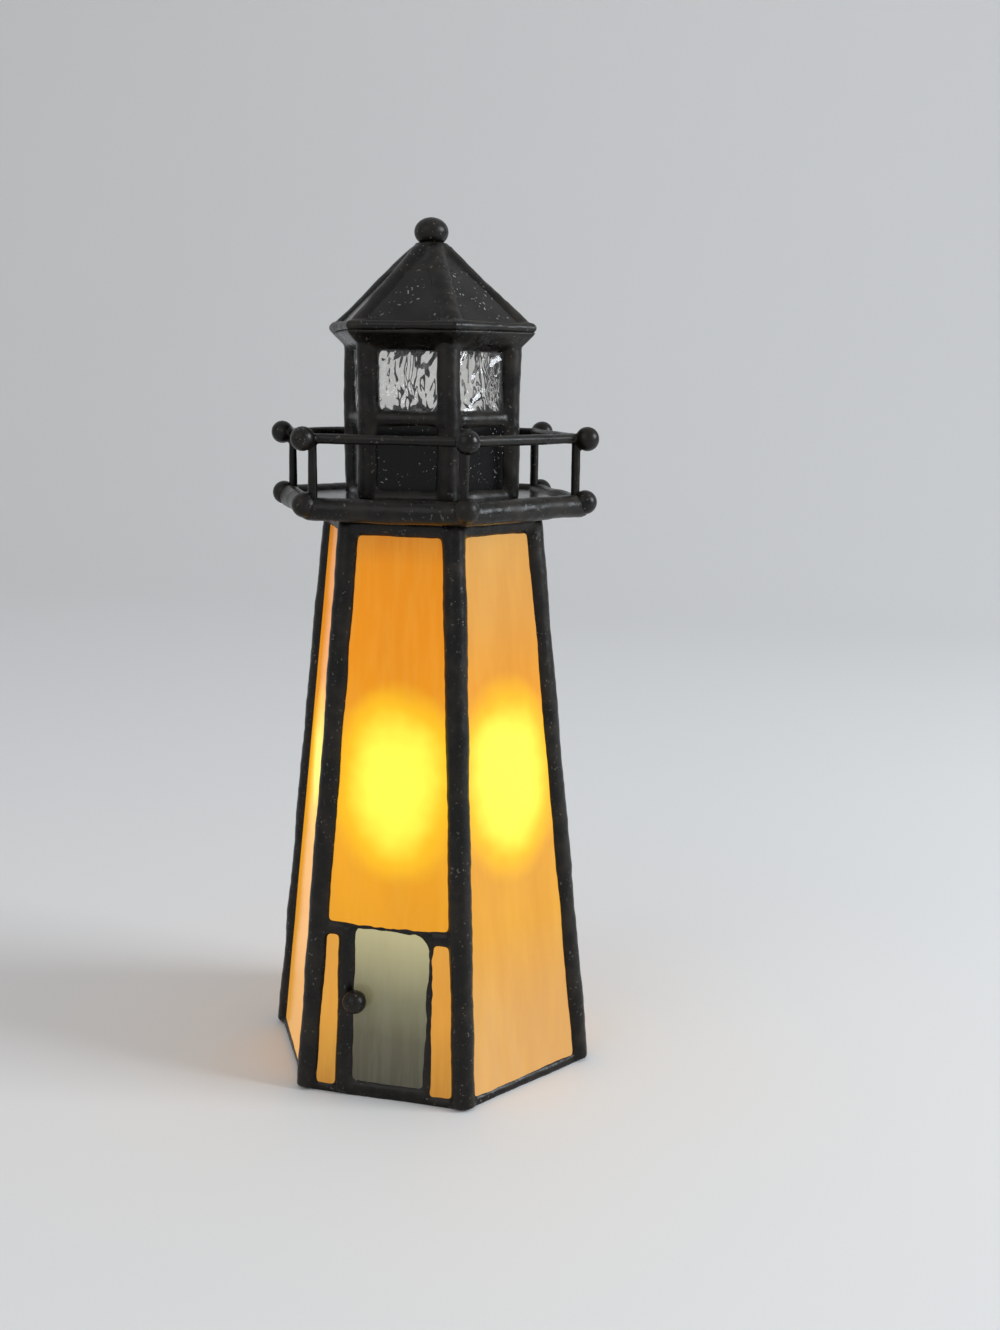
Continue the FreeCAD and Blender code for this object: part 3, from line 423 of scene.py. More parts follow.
# %% Wisps in rolled glass
def build_wisps():
    group, given, out = new_group(
        "Wisps", [("Strength", "NodeSocketFloat", 0.5)],
        [("Broad", "NodeSocketFloat"), ("Fine", "NodeSocketFloat"),
         ("Height", "NodeSocketFloat")])
    broad = noise_node(group, 70, 4, 0.55, (1, 1, 0.22))
    fine = noise_node(group, 520, 4, 0.6, (1, 1, 0.05))
    for label, pattern, low, high in (("Broad", broad, 0.3, 0.7), ("Fine", fine, 0.35, 0.68)):
        spread = range_node(group, pattern, low, high)
        group.links.new(math_node(group, "MULTIPLY", spread, given.outputs["Strength"]),
                        out.inputs[label])
    group.links.new(math_node(group, "MULTIPLY_ADD", fine, 0.4, broad), out.inputs["Height"])
    return group


WISPS = build_wisps()
print("node groups:", [g.name for g in bpy.data.node_groups])

# %% [markdown]
# ## Materials
# Each material keeps its own Principled shader and takes what varies from the groups.
# Numbers that are the same all over stand on the shader's own sockets, where they are
# easy to find.

# %% Start a material
def new_material(name, **plain):
    material = bpy.data.materials.new(name)
    material.use_nodes = True
    shader = material.node_tree.nodes["Principled BSDF"]
    for label, number in plain.items():
        shader.inputs[label.replace("_", " ")].default_value = number
    return material, material.node_tree, shader


def use_group(tree, group, **given):
    node = tree.nodes.new("ShaderNodeGroup")
    node.node_tree = group
    for label, number in given.items():
        node.inputs[label.replace("_", " ")].default_value = number
    return node


def add_bump(tree, shader, height, strength, distance):
    bump = tree.nodes.new("ShaderNodeBump")
    bump.inputs["Strength"].default_value = strength
    bump.inputs["Distance"].default_value = distance
    tree.links.new(height, bump.inputs["Height"])
    tree.links.new(bump.outputs["Normal"], shader.inputs["Normal"])


def ramp_node(tree, given, stops):
    """A ramp of (position, colour) stops."""
    ramp = tree.nodes.new("ShaderNodeValToRGB")
    band = ramp.color_ramp
    while len(band.elements) < len(stops):
        band.elements.new(0.5)
    for element, (position, colour) in zip(band.elements, stops):
        element.position = position
        element.color = (*colour, 1)
    tree.links.new(given, ramp.inputs["Fac"])
    return ramp.outputs["Color"]


print("materials so far:", len(bpy.data.materials))

# %% [markdown]
# ### Solder, wire and balls
# Solder, brass wire and brass balls are all blackened with the same patina, so they share
# one recipe. The solder is handled more and set unevenly, so it is more worn and its bump
# is stronger.

# %% Black-finished solder, wire and balls
def patina_material(name, wear, bump, film):
    material, tree, shader = new_material(name, Specular_IOR_Level=0.25)
    patina = use_group(tree, PATINA, Wear=wear)
    dust = use_group(tree, DUST, Film=film, Specks=0.25)
    tree.links.new(patina.outputs["Color"], dust.inputs["Color"])
    tree.links.new(patina.outputs["Roughness"], dust.inputs["Roughness"])
    tree.links.new(dust.outputs["Color"], shader.inputs["Base Color"])
    tree.links.new(dust.outputs["Roughness"], shader.inputs["Roughness"])
    add_bump(tree, shader, patina.outputs["Height"], bump, 0.0004)
    return material


SOLDER = patina_material("black_patina_solder", wear=0.5, bump=0.4, film=0.04)
BLACK_METAL = patina_material("black_metal", wear=0.3, bump=0.2, film=0.03)
print("black finishes:", SOLDER.name, BLACK_METAL.name)

# %% [markdown]
# ### Amber glass
# The amber panels are lit from behind. A real light inside would need many samples to
# come through the glass, so the panels carry their light as emission instead: a colour
# for each height, wisps, and the oval of glow on top. The right-hand panels' ramps are
# paler at their ends than the front one's.

# %% Amber glass
HOT_CORE = (0.94, 0.92, 0.075)
HOT_EDGE = (0.88, 0.50, 0.008)
BROAD_WISP, FINE_WISP = (0.60, 0.22, 0.008), (0.70, 0.38, 0.06)
AMBER_BODY, AMBER_SHADE = (0.20, 0.085, 0.008), (0.13, 0.050, 0.005)


def amber_material(name, heights):
    material, tree, shader = new_material(name, Roughness=0.16, Emission_Strength=1.08,
                                          Specular_IOR_Level=0.28)
    glow = use_group(tree, GLOW)
    wisps = use_group(tree, WISPS, Strength=1.0)
    broad = range_node(tree, wisps.outputs["Broad"], 0, 1, 0, 0.22)
    fine = range_node(tree, wisps.outputs["Fine"], 0, 1, 0, 0.12)
    edge = range_node(tree, glow.outputs["Glow"], 0.0, 0.62)
    core = range_node(tree, glow.outputs["Glow"], 0.45, 0.95)
    lit = ramp_node(tree, glow.outputs["Height"], heights)
    for share, colour in ((broad, BROAD_WISP), (fine, FINE_WISP), (edge, HOT_EDGE),
                          (core, HOT_CORE)):
        lit = mix_node(tree, share, lit, colour)
    tree.links.new(lit, shader.inputs["Emission Color"])
    body = mix_node(tree, wisps.outputs["Broad"], AMBER_BODY, AMBER_SHADE)
    tree.links.new(body, shader.inputs["Base Color"])
    add_bump(tree, shader, wisps.outputs["Height"], 0.12, 0.0005)
    return material


AMBER_FRONT = amber_material("amber_glass_front", [
    (0.0, (0.55, 0.27, 0.05)), (0.28, (0.64, 0.27, 0.006)), (0.45, (0.76, 0.33, 0.004)),
    (0.8, (0.66, 0.21, 0.001)), (0.93, (0.60, 0.19, 0.002)), (1.0, (0.36, 0.12, 0.010))])
AMBER_RIGHT = amber_material("amber_glass_right", [
    (0.0, (0.52, 0.32, 0.13)), (0.14, (0.52, 0.31, 0.11)), (0.3, (0.60, 0.30, 0.03)),
    (0.7, (0.66, 0.26, 0.015)), (0.84, (0.55, 0.28, 0.07)), (1.0, (0.50, 0.30, 0.10))])
AMBER_STRIP = amber_material("amber_glass_strips", [
    (0.0, (0.24, 0.11, 0.02)), (0.05, (0.36, 0.18, 0.03)), (0.15, (0.55, 0.26, 0.04)),
    (0.32, (0.60, 0.29, 0.045))])
print("amber glass:", [m.name for m in (AMBER_FRONT, AMBER_RIGHT, AMBER_STRIP)])

# %% [markdown]
# ### Opal glass
# The door is a pane of grey-white opal glass. It lies below the bulb, so the light in it
# fades from pale at the lintel to dark at the threshold. Two ramps up its height give
# that: one for the light that comes through, as emission, and one painted into the glass's
# own colour as painted shade, darker towards the threshold.

# %% Opal glass of the door
def door_material():
    material, tree, shader = new_material("opal_door_glass", Roughness=0.14,
                                          Emission_Strength=1.0)
    glow = use_group(tree, GLOW)
    wisps = use_group(tree, WISPS, Strength=1.0)
    height = math_node(tree, "MULTIPLY_ADD", wisps.outputs["Broad"], 0.02,
                       glow.outputs["Height"])
    lit = ramp_node(tree, height, [
        (0.02, (0.012, 0.010, 0.005)), (0.12, (0.035, 0.031, 0.015)),
        (0.20, (0.10, 0.09, 0.045)), (0.31, (0.33, 0.29, 0.14))])
    tree.links.new(lit, shader.inputs["Emission Color"])
    # Painted shade: the opal glass's base colour darkens from the lintel down to the threshold,
    # for the light that fades below the bulb.
    body = ramp_node(tree, height, [
        (0.02, (0.060, 0.056, 0.036)), (0.12, (0.085, 0.080, 0.050)),
        (0.20, (0.14, 0.135, 0.085)), (0.31, (0.21, 0.20, 0.125))])
    fine = range_node(tree, wisps.outputs["Fine"], 0, 1, 0, 0.15)
    tree.links.new(mix_node(tree, fine, body, (0.22, 0.22, 0.17)), shader.inputs["Base Color"])
    add_bump(tree, shader, wisps.outputs["Height"], 0.08, 0.0005)
    return material


OPAL = door_material()
print("door:", OPAL.name, len(OPAL.node_tree.nodes), "nodes")

# %% [markdown]
# ### Black glass and clear glass
# The deck, the roof and the lower walls are black sheet glass, which no light comes
# through, so it is a dark glossy surface with dust on it. The windows are clear. They are
# real transmission, because the view through them is what shows their ripples.

# %% Black sheet glass, clear rippled glass
def black_glass_material():
    material, tree, shader = new_material("black_glass", Specular_IOR_Level=0.24)
    dust = use_group(tree, DUST, Color=(0.0035, 0.0035, 0.0036, 1), Roughness=0.16, Film=0.08,
                     Specks=0.8)
    tree.links.new(dust.outputs["Color"], shader.inputs["Base Color"])
    tree.links.new(dust.outputs["Roughness"], shader.inputs["Roughness"])
    add_bump(tree, shader, noise_node(tree, 60, 2), 0.10, 0.001)
    return material


def clear_material(name, ior, tint_scale, tints, smear_scale, smear, detail):
    """Clear glass with a faint uneven tint and faint smears in its gloss."""
    material, tree, shader = new_material(name, Transmission_Weight=1.0, IOR=ior)
    tree.links.new(mix_node(tree, noise_node(tree, tint_scale, detail), *tints),
                   shader.inputs["Base Color"])
    tree.links.new(range_node(tree, noise_node(tree, smear_scale, detail), 0.4, 0.7, *smear),
                   shader.inputs["Roughness"])
    return material


BLACK_GLASS = black_glass_material()
CLEAR_GLASS = clear_material("clear_ripple_glass", 1.5, 90,
                             ((0.90, 0.89, 0.86), (0.98, 0.975, 0.96)), 160, (0.01, 0.05), 3)
print("sheet glass:", BLACK_GLASS.name, CLEAR_GLASS.name)

# %% [markdown]
# ### Working parts
# Inside the tower are plain working parts. They show from below and when the lampholder
# is drawn out, so they get finishes too: dull tin, moulded phenolic, spring steel, brass.
# One recipe serves all four, with two shades and a noise that also moves the gloss.

# %% Finishes of the inner parts
def worked_material(name, dark, pale, metallic, rough, scale, stretch=(1, 1, 1)):
    material, tree, shader = new_material(name, Metallic=metallic)
    pattern = noise_node(tree, scale, 4, 0.6, stretch)
    share = range_node(tree, pattern, 0.35, 0.7)
    tree.links.new(mix_node(tree, share, dark, pale), shader.inputs["Base Color"])
    tree.links.new(range_node(tree, pattern, 0.3, 0.7, rough, rough + 0.16),
                   shader.inputs["Roughness"])
    add_bump(tree, shader, pattern, 0.15, 0.0003)
    return material


TIN = worked_material("tinned_strap", (0.42, 0.41, 0.38), (0.60, 0.59, 0.55), 1.0, 0.34, 160)
PHENOLIC = worked_material("black_phenolic", (0.018, 0.016, 0.014), (0.034, 0.030, 0.026),
                           0.0, 0.38, 420)
SPRING = worked_material("spring_steel", (0.42, 0.42, 0.43), (0.62, 0.62, 0.63), 1.0, 0.22,
                         700, (1, 1, 0.1))
BRASS = worked_material("socket_brass", (0.62, 0.43, 0.17), (0.84, 0.64, 0.32), 1.0, 0.2, 260)
print("working finishes:", [m.name for m in (TIN, PHENOLIC, SPRING, BRASS)])

# %% [markdown]
# ### The bulb's materials
# The bulb's glass is thin and clear with a warm tint. Its filament is tungsten that
# glows orange, hotter in some places than in others, so its light comes as emission.

# %% Bulb glass and filament
def filament_material():
    material, tree, shader = new_material("filament_wire", Metallic=1.0, Emission_Strength=6.0)
    heat = noise_node(tree, 500)
    tree.links.new(mix_node(tree, heat, (1.0, 0.42, 0.10), (1.0, 0.72, 0.34)),
                   shader.inputs["Emission Color"])
    tree.links.new(mix_node(tree, heat, (0.5, 0.45, 0.4), (0.7, 0.62, 0.5)),
                   shader.inputs["Base Color"])
    return material


BULB_GLASS = clear_material("bulb_glass", 1.2, 60, ((1, 0.93, 0.78), (1, 0.97, 0.9)),
                            200, (0.02, 0.06), 2)
FILAMENT = filament_material()
print("materials:", len(bpy.data.materials))

# %% [markdown]
# ## Finishes for the nodes that stay
# Cut glass is flat with square edges, so its solid nodes are already the right shape and
# only take a material. They could be modelled again, but nothing would look different.
# The list pairs each node with its finish.

# %% Give the staying nodes their materials
finishes = {"door_pane": OPAL, "door_strip_left": AMBER_STRIP, "door_strip_right": AMBER_STRIP,
            "deck_plate": BLACK_GLASS, "lamp_strap": TIN, "strap_solder_tacks": SOLDER,
            "lampholder_body": PHENOLIC, "lampholder_clips": SPRING,
            "lampholder_shell": BRASS, "lampholder_contact": BRASS, "bulb_tip": BRASS,
            "bulb_insulator": PHENOLIC, "bulb_filament": FILAMENT}
for side in SIDES:
    finishes[f"panel_{side}"] = AMBER_RIGHT if "right" in side else AMBER_FRONT
    finishes[f"lantern_wall_{side}"] = BLACK_GLASS
    finishes[f"roof_panel_{side}"] = BLACK_GLASS
for node, material in finishes.items():
    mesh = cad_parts[node].data
    mesh.materials.clear()
    mesh.materials.append(material)
print("finished nodes:", len(finishes))

# %% [markdown]
# ## The tower's solder
# Copper foil wraps every edge of glass, and solder covers the foil as a round bead. On
# the tower the beads run up the six corners, round the foot and the top, and round the
# door. They are laid as rods and rings at the foil's own lines, with their centres in the
# middle of the glass, so that they stand out as far in front as behind.

# %% Lay the beads along the tower's edges
BASE_RADIUS, TOP_RADIUS = 45.2, 29.2
GLASS = 3.0
TOWER_LEAN = math.atan(COS30 * (BASE_RADIUS - TOP_RADIUS) / TOWER_TOP)
MIDDLE_INSET = GLASS / 2 / (COS30 * math.cos(TOWER_LEAN))
SEAM_BEAD, SEAM_INSET = 3.2, 1.4
SEAM_LOW, SEAM_HIGH = 0.4, 150.4
FOOT_BEAD, FOOT_HEIGHT = 2.1, 1.0


def tower_radius(height):
    """The tapering tower's radius at a corner."""
    return BASE_RADIUS - (BASE_RADIUS - TOP_RADIUS) * height / TOWER_TOP


tower = bmesh.new()
for corner in range(6):
    add_rod(tower, point_at(tower_radius(0) - SEAM_INSET, corner * 60, SEAM_LOW),
            point_at(tower_radius(SEAM_HIGH) - SEAM_INSET, corner * 60, SEAM_HIGH), SEAM_BEAD)
add_ring(tower, tower_radius(FOOT_HEIGHT) - MIDDLE_INSET, FOOT_HEIGHT, FOOT_BEAD)
add_ring(tower, tower_radius(SEAM_HIGH) - MIDDLE_INSET, SEAM_HIGH, SEAM_BEAD)
print("tower beads:", len(tower.faces), "faces, lean", round(math.degrees(TOWER_LEAN), 2))

# %% [markdown]
# The door is framed by straight beads in the leaning front: a lintel, a wide jamb on the
# left, a slim one on the right and a threshold. Beside the door the lintel swells, because
# more solder gathered over the strips. Each bead is a line of one list.

# %% Lay the beads round the door
LINTEL, THRESHOLD = 45.6, 2.5
JAMB_LEFT, JAMB_RIGHT, FRONT_EDGE = -11.3, 11.95, 18.4
SLIM_BEAD, WIDE_BEAD, THRESHOLD_BEAD = 1.9, 3.0, 2.3
SWELL_BEAD, SWELL_HEIGHT = 2.55, LINTEL - 0.95


def front_point(x, height, depth=GLASS / 2):
    """A point in the thickness of the leaning front glass."""
    return Vector((x, -COS30 * tower_radius(height) + depth * math.cos(TOWER_LEAN),
                   height - depth * math.sin(TOWER_LEAN))) * MM


door_beads = [((-FRONT_EDGE, LINTEL), (FRONT_EDGE, LINTEL), SLIM_BEAD),
              ((-FRONT_EDGE, SWELL_HEIGHT), (JAMB_LEFT, SWELL_HEIGHT), SWELL_BEAD),
              ((JAMB_RIGHT, SWELL_HEIGHT), (FRONT_EDGE, SWELL_HEIGHT), SWELL_BEAD),
              ((JAMB_LEFT, FOOT_HEIGHT), (JAMB_LEFT, LINTEL), WIDE_BEAD),
              ((JAMB_RIGHT, FOOT_HEIGHT), (JAMB_RIGHT, LINTEL), SLIM_BEAD),
              ((JAMB_LEFT, THRESHOLD), (JAMB_RIGHT, THRESHOLD), THRESHOLD_BEAD)]
for start, end, radius in door_beads:
    add_rod(tower, front_point(*start), front_point(*end), radius)
print("door beads:", len(door_beads))

# %% [markdown]
# The door's upper right corner is rounded, and solder fills the spandrel beside it. A
# quarter ring of solder, spun about the middle of the curve, and a drop behind it do that.
# Then everything is melted, and what would reach under the table top is pressed flat.

# %% Fill the spandrel, then melt
CURVE_RADIUS, CURVE_INSET = 5.5, 0.3
CURVE_BEAD, CURVE_OFFSET = 1.5, 0.7
curve_centre = front_point(JAMB_RIGHT - CURVE_INSET - CURVE_RADIUS,
                           LINTEL - CURVE_INSET - CURVE_RADIUS)
face_turn = Matrix.Rotation(-TOWER_LEAN, 4, "X")
section = bmesh.ops.create_circle(
    tower, segments=12, radius=CURVE_BEAD * MM,
    matrix=Matrix.Translation(curve_centre) @ face_turn @ Matrix.Translation(
        ((CURVE_RADIUS + CURVE_OFFSET) * MM, 0, 0)))
bmesh.ops.spin(tower, geom=section["verts"] + edges_of(section["verts"]), cent=curve_centre,
               axis=face_turn @ Vector((0, -1, 0)), dvec=(0, 0, 0), angle=math.radians(90),
               steps=8, use_merge=False)
add_ball(tower, front_point(JAMB_RIGHT - 1.2, LINTEL - 1.6), SLIM_BEAD)
tower_skin = flow_solder(tower, voxel=0.5, soften=2, swell=0.36, ripple=0.12, seed=3)
for vertex in tower_skin.verts:
    vertex.co.z = max(vertex.co.z, 0.0)
finish_piece("tower_solder", tower_skin, "lighthouse",
             ["tower_corner_seams", "lintel_seam", "jamb_seam_left", "jamb_seam_right",
              "base_seam", "tower_top_seam"], SOLDER)

# %% [markdown]
# ## The gallery
# The deck's rim is one thick bead with a ball soldered at each corner. The rim is melted
# with a coarse voxel. Its balls could be melted with it, but then they would sink into the
# solder, so they stay true spheres.

# %% Rim and foot balls
RIM_RADIUS, RIM_HEIGHT, RIM_BEAD = 40.9, 155.1, 3.1
FOOT_BALL_RADIUS, FOOT_BALL_HEIGHT, BALL = 42.6, 156.1, 3.175
rim = bmesh.new()
add_ring(rim, RIM_RADIUS, RIM_HEIGHT, RIM_BEAD, 24)
rim_skin = flow_solder(rim, voxel=0.45, soften=2, swell=0.35, ripple=0.10, seed=11)
finish_piece("gallery_rim", rim_skin, "lighthouse", ["deck_rim"], SOLDER)
foot_balls = bmesh.new()
for corner in range(6):
    add_ball(foot_balls, point_at(FOOT_BALL_RADIUS, corner * 60, FOOT_BALL_HEIGHT), BALL,
             segments=36)
finish_piece("gallery_foot_balls", foot_balls, "lighthouse", ["foot_balls"],
             BLACK_METAL)

# %% [markdown]
# Six wire posts, six mitred wires and six more balls make the rail. They are soldered
# into one frame, so they are melted together, with a finer voxel that keeps the thin
# wires round.

# %% Posts, rails and rail balls
RAIL_RADIUS, POST_FOOT, RAIL_HEIGHT = 39.9, 156.0, 172.6
POST_WIRE, RAIL_WIRE = 1.2, 1.35
RAIL_BALL_RADIUS, RAIL_BALL = 42.9, 3.2
railing = bmesh.new()
for corner in range(6):
    head = point_at(RAIL_RADIUS, corner * 60, RAIL_HEIGHT)
    add_rod(railing, point_at(RAIL_RADIUS, corner * 60, POST_FOOT), head, POST_WIRE, 16)
    add_rod(railing, head, point_at(RAIL_RADIUS, corner * 60 + 60, RAIL_HEIGHT), RAIL_WIRE, 16)
    add_ball(railing, point_at(RAIL_BALL_RADIUS, corner * 60, RAIL_HEIGHT), RAIL_BALL,
             segments=28)
railing_skin = flow_solder(railing, voxel=0.3, soften=2, swell=0.16, ripple=0.05, seed=17)
finish_piece("gallery_railing", railing_skin, "lighthouse",
             ["rail_posts", "hand_rails", "rail_balls"], BLACK_METAL)

# %% [markdown]
# The door's knob is one of the same balls, tacked to the glass by a short foot of solder.
# Ball and foot are melted into one, with the finest voxel, because the piece is so small.

# %% Door knob
KNOB_X, KNOB_HEIGHT = -7.8, 26.2
KNOB_BURY, KNOB_FOOT = 0.4, 2.2
knob = bmesh.new()
add_ball(knob, front_point(KNOB_X, KNOB_HEIGHT, KNOB_BURY - BALL), BALL, segments=32)
add_rod(knob, front_point(KNOB_X, KNOB_HEIGHT, -1.4), front_point(KNOB_X, KNOB_HEIGHT, 0.6),
        KNOB_FOOT, 24)
knob_skin = flow_solder(knob, voxel=0.22, soften=2, swell=0.08, ripple=0.02, seed=5)
finish_piece("door_knob_ball", knob_skin, "lighthouse", ["door_knob"],
             BLACK_METAL)

# %% [markdown]
# ## The lantern room
# Round the lantern the beads run up the corners, along the foot, under the windows and
# over them, and a flared cove leads out to the eave. The cove's section has five corners
# and is spun in six steps, like the rings, and all of it is melted together.

# %% Lay and melt the lantern's beads
LANTERN_RADIUS, LANTERN_BEAD = 22.9, 3.15
LANTERN_LOW, LANTERN_HIGH = 156.7, 197.0
RING_HEIGHTS_AND_BEADS = [(156.85, 2.8), (177.2, 2.5), (196.4, 2.2)]
COVE_FLATS_AND_HEIGHTS = [(19.6, 194.9), (21.5, 195.9), (24.94, 199.3), (24.3, 200.0),
                          (19.6, 197.8)]
lantern = bmesh.new()
for corner in range(6):
    add_rod(lantern, point_at(LANTERN_RADIUS - SEAM_INSET, corner * 60, LANTERN_LOW),
            point_at(LANTERN_RADIUS - SEAM_INSET, corner * 60, LANTERN_HIGH), LANTERN_BEAD)
for height, bead in RING_HEIGHTS_AND_BEADS:
    add_ring(lantern, LANTERN_RADIUS - GLASS / 2 / COS30, height, bead)
add_profile_ring(lantern, [(flat / COS30, height) for flat, height in COVE_FLATS_AND_HEIGHTS], 6)
lantern_skin = flow_solder(lantern, voxel=0.5, soften=2, swell=0.34, ripple=0.12, seed=23)
finish_piece("lantern_solder", lantern_skin, "lighthouse",
             ["lantern_corner_seams", "sill_seams", "lantern_foot_seam",
              "lantern_head_seam", "eave_cove"], SOLDER)

# %% [markdown]
# The windows are clear glass with a rippled face, and the ripples bend what shows through
# into dark squiggles. A bump map would only change the gloss, so here the ripples are
# real: each pane's faces are divided finely and pushed in by folded noise, drawn upright.

# %% Rippled window panes
PANE_HALF_WIDTH = LANTERN_RADIUS / 2 - 2.03
PANE_LOW, PANE_HIGH = 177.5, 196.2
PANE_CUTS, PANE_SKIN = 56, 0.12
RIPPLE_WIDTH, RIPPLE_HEIGHT, RIPPLE_DEPTH = 3.1, 7.0, 0.28


def ripple_depth(across_mm, up_mm, seed):
    """How far the glass lies below its face: folds of bent noise, and a little more."""
    spot = Vector((across_mm / RIPPLE_WIDTH, up_mm / RIPPLE_HEIGHT, seed))
    bend = noise.noise(spot / 2) * 1.6
    fold = abs(noise.noise(spot + Vector((bend, bend, 0))))
    return RIPPLE_DEPTH * min(fold * 3.0, 1.0) + 0.03 * noise.noise(spot * 3)


def rippled_pane(seed):
    """The front window: a thin block with both faces divided and rippled."""
    pane = bmesh.new()
    bmesh.ops.create_cube(pane, size=1.0)
    bmesh.ops.scale(pane, vec=Vector((PANE_HALF_WIDTH * 2, GLASS, PANE_HIGH - PANE_LOW)) * MM,
                    verts=pane.verts)
    face_edges = [e for e in pane.edges
                  if abs(e.verts[0].co.y - e.verts[1].co.y) < MERGE_DISTANCE]
    bmesh.ops.subdivide_edges(pane, edges=face_edges, cuts=PANE_CUTS, use_grid_fill=True)
    for vertex in pane.verts:
        outer = vertex.co.y < 0
        depth = ripple_depth(vertex.co.x / MM, vertex.co.z / MM, seed + (0 if outer else 40))
        vertex.co.y += (PANE_SKIN + depth) * MM * (1 if outer else -1)
    bmesh.ops.translate(pane, verts=pane.verts, vec=Vector(
        (0, -COS30 * LANTERN_RADIUS + GLASS / 2, (PANE_LOW + PANE_HIGH) / 2)) * MM)
    return pane


for number, side in enumerate(SIDES):
    pane = rippled_pane(number * 7)
    bmesh.ops.rotate(pane, verts=pane.verts, cent=(0, 0, 0),
                     matrix=Matrix.Rotation(math.radians(number * 60), 3, "Z"))
    finish_piece(f"rippled_pane_{side}", pane, "lighthouse", [f"window_pane_{side}"],
                 CLEAR_GLASS)

# %% [markdown]
# ## The roof
# Six ridges of solder climb from the eave and run together under a little cap, which
# carries a ball. The ridges, the bead along the eave and the cap are one skin of solder.
# A cone under the cap closes the gap where the ridges part, as a maker would fill it.

# %% Ridges, eave and cap
RIDGE_FOOT_RADIUS, RIDGE_FOOT, RIDGE_BEAD = 24.0, 200.5, 3.25
RIDGE_TOP_RADIUS, RIDGE_TOP = 3.0, 219.5
EAVE_RADIUS, EAVE_HEIGHT, EAVE_BEAD, EAVE_DROP = 27.2, 200.7, 1.5, 3.0
CONE = [(0.4, 214.0), (12.0, 214.9), (6.9, 219.5), (0.4, 219.5)]
CAP = [(0.4, 218.0), (5.2, 218.4), (5.2, 220.5), (4.3, 222.6), (0.4, 222.6)]
roof = bmesh.new()
for corner in range(6):
    add_rod(roof, point_at(RIDGE_FOOT_RADIUS, corner * 60, RIDGE_FOOT),
            point_at(RIDGE_TOP_RADIUS, corner * 60, RIDGE_TOP), RIDGE_BEAD)
    add_ball(roof, point_at(RIDGE_FOOT_RADIUS, corner * 60, EAVE_HEIGHT), EAVE_DROP)
add_ring(roof, EAVE_RADIUS, EAVE_HEIGHT, EAVE_BEAD, 16)
add_profile_ring(roof, CONE, 6)
add_profile_ring(roof, CAP, 24)
roof_skin = flow_solder(roof, voxel=0.45, soften=2, swell=0.38, ripple=0.12, seed=31)
finish_piece("roof_solder", roof_skin, "lighthouse",
             ["roof_ridge_seams", "eave_seam", "roof_cap"], SOLDER)

# %% [markdown]
# The ball on top is the largest bead of the lamp, and a little flatter than a sphere. It
# was bought ready-made and only set on the cap, so it stays a piece of its own.

# %% Ball on top
TOP_BALL_RADIUS, TOP_BALL_HALF_HEIGHT, TOP_BALL_MIDDLE = 4.5, 3.75, 225.25
finial = bmesh.new()
add_ball(finial, point_at(0, 0, TOP_BALL_MIDDLE), TOP_BALL_RADIUS,
         TOP_BALL_HALF_HEIGHT / TOP_BALL_RADIUS, 48)
finish_piece("top_ball", finial, "lighthouse", ["finial_ball"], BLACK_METAL)

# %% [markdown]
# ## The bulb
# A candelabra bulb is blown glass on a rolled brass cap. The glass's outline is spun
# about the axis and given a wall. A stretched sphere would lack its pointed tip and the
# straight neck that goes into the cap.

# %% Bulb glass
BULB_OUTLINE = [(5.4, 59.3), (5.5, 62.0), (7.2, 66.5), (9.4, 71.5), (10.8, 77.0), (10.9, 82.5),
                (9.9, 88.0), (7.6, 93.2), (4.3, 97.4), (1.8, 99.2), (0.0, 99.6)]
BULB_MIDDLE, BULB_WALL = 80, 0.6
bulb = bmesh.new()
outline = [bulb.verts.new(point_at(radius, 0, height)) for radius, height in BULB_OUTLINE]
outline_edges = [bulb.edges.new(pair) for pair in zip(outline, outline[1:])]
spin_round(bulb, outline + outline_edges, 32)
bmesh.ops.remove_doubles(bulb, verts=bulb.verts, dist=MERGE_DISTANCE)
bmesh.ops.recalc_face_normals(bulb, faces=bulb.faces)
middle = point_at(0, 0, BULB_MIDDLE)
if sum(f.normal.dot(f.calc_center_median() - middle) for f in bulb.faces) < 0:
    bmesh.ops.reverse_faces(bulb, faces=bulb.faces)
bmesh.ops.solidify(bulb, geom=bulb.faces[:], thickness=BULB_WALL * MM)
finish_piece("bulb_envelope", bulb, "bulb", ["bulb_glass"], BULB_GLASS)

# %% [markdown]
# The cap's sleeve is a profile ring. Its thread is a small round section, spun with a
# rise of one pitch for each turn, so that it climbs as a real screw does. A stack of
# rings would be simpler, but it would not be a thread.

# %% Screw cap of the bulb
SLEEVE = [(4.6, 48.8), (5.45, 49.4), (5.45, 58.6), (5.9, 58.9), (5.9, 59.3), (4.6, 59.3)]
THREAD_PITCH, THREAD_TURNS, THREAD_STEPS = 2.54, 2.9, 140
THREAD_RADIUS, THREAD_START, THREAD_SECTION = 5.32, 50.3, 0.62
cap = bmesh.new()
add_profile_ring(cap, SLEEVE, 48)
thread = bmesh.ops.create_circle(
    cap, segments=10, radius=THREAD_SECTION * MM,
    matrix=Matrix.Translation(point_at(THREAD_RADIUS, 0, THREAD_START)) @ Matrix.Rotation(
        math.radians(90), 4, "X"))
bmesh.ops.spin(cap, geom=thread["verts"] + edges_of(thread["verts"]), cent=(0, 0, 0),
               axis=(0, 0, 1), dvec=(0, 0, THREAD_PITCH * THREAD_TURNS * MM / THREAD_STEPS),
               angle=math.tau * THREAD_TURNS, steps=THREAD_STEPS, use_merge=False)
bmesh.ops.holes_fill(cap, edges=[e for e in cap.edges if e.is_boundary], sides=12)
finish_piece("bulb_screw_cap", cap, "bulb", ["bulb_cap"], BRASS)

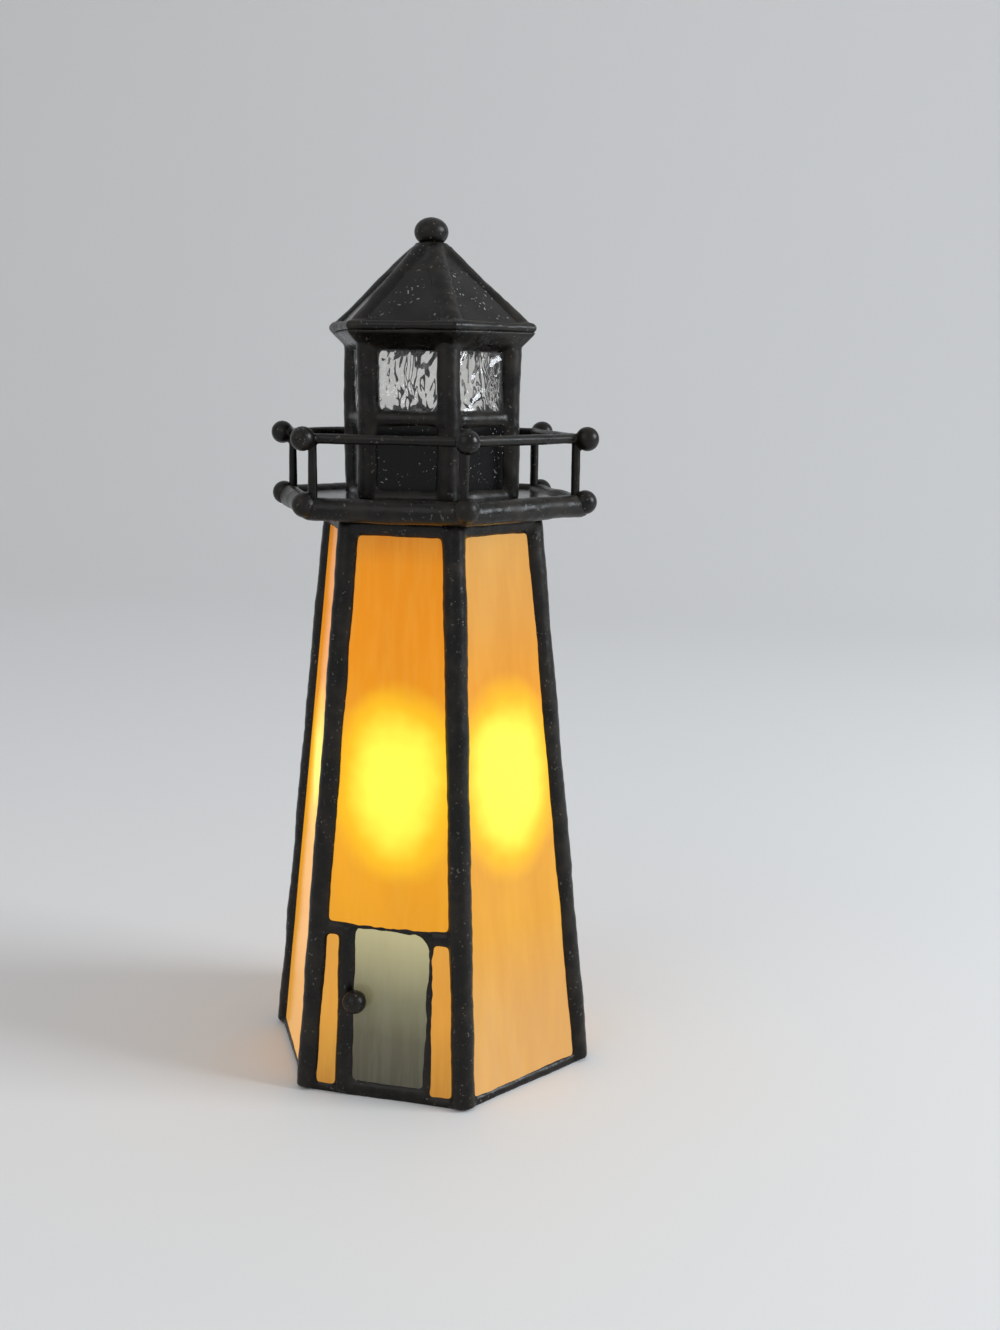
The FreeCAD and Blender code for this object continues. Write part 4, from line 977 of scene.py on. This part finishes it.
# %% [markdown]
# ## Floor and backdrop
# The lamp stands on a plain pale floor that curves up behind it, so no horizon shows. One
# edge is drawn out into the floor, spun up through a quarter turn and drawn out again
# into the wall. A flat plane and a box would leave a line behind the lamp.

# %% Pale floor that curves up
HALF_WIDTH, FLOOR_FRONT, FLOOR_DEPTH = 2.4, -1.6, 2.4
SWEEP_RADIUS, WALL_HEIGHT = 0.8, 1.4


def floor_material():
    material, tree, shader = new_material("pale_floor", Roughness=0.7)
    shade = mix_node(tree, noise_node(tree, 3), (0.78, 0.775, 0.765), (0.80, 0.795, 0.785))
    tree.links.new(shade, shader.inputs["Base Color"])
    return material


def draw_out(bm, edges, run):
    """Extrude edges and move the new ones; returns what was made."""
    made = bmesh.ops.extrude_edge_only(bm, edges=edges)["geom"]
    moved = [item for item in made if isinstance(item, bmesh.types.BMVert)]
    bmesh.ops.translate(bm, vec=run, verts=moved)
    return made


sweep = bmesh.new()
corners = [sweep.verts.new((x, FLOOR_FRONT, 0)) for x in (-HALF_WIDTH, HALF_WIDTH)]
flat = draw_out(sweep, [sweep.edges.new(corners)], (0, FLOOR_DEPTH, 0))
bend = bmesh.ops.spin(
    sweep, geom=[item for item in flat if not isinstance(item, bmesh.types.BMFace)],
    cent=(0, SWEEP_RADIUS, SWEEP_RADIUS), axis=(1, 0, 0), dvec=(0, 0, 0),
    angle=math.radians(90), steps=24, use_merge=False)
draw_out(sweep, [item for item in bend["geom_last"] if isinstance(item, bmesh.types.BMEdge)],
         (0, 0, WALL_HEIGHT))
bmesh.ops.recalc_face_normals(sweep, faces=sweep.faces)
floor = link_mesh("floor", sweep, floor_material())
print("floor from", floor.data.vertices[0].co[:], "faces:", len(floor.data.polygons))

# %% [markdown]
# ## Light
# In the photograph soft cool light comes from a window on the right, and the front is
# filled a little by the room. Two area lamps aimed at the lamp's middle stand for them,
# and the world fills the shadows at a plain level.

# %% Lamps and world
AIM = Vector((0, 0, 0.11))


def soft_light(name, place, energy, size, colour):
    light = bpy.data.lights.new(name, "AREA")
    light.energy = energy
    light.size = size
    light.color = colour
    lamp = bpy.data.objects.new(name, light)
    lamp.location = place
    lamp.rotation_mode = "QUATERNION"
    lamp.rotation_quaternion = (AIM - Vector(place)).to_track_quat("-Z", "Y")
    bpy.context.scene.collection.objects.link(lamp)


soft_light("window_light", (1.15, 0.05, 0.6), energy=12, size=0.5, colour=(0.88, 0.94, 1.0))
soft_light("front_light", (-0.5, -1.3, 0.9), energy=4, size=1.2, colour=(1.0, 0.97, 0.93))
world = bpy.data.worlds.new("studio")
bpy.context.scene.world = world
world.use_nodes = True
surround = world.node_tree.nodes["Background"]
surround.inputs["Color"].default_value = (0.93, 0.96, 1.0, 1)
surround.inputs["Strength"].default_value = 0.55
bpy.context.scene.view_settings.view_transform = "Standard"
print("lamps:", [light.name for light in bpy.data.lights])
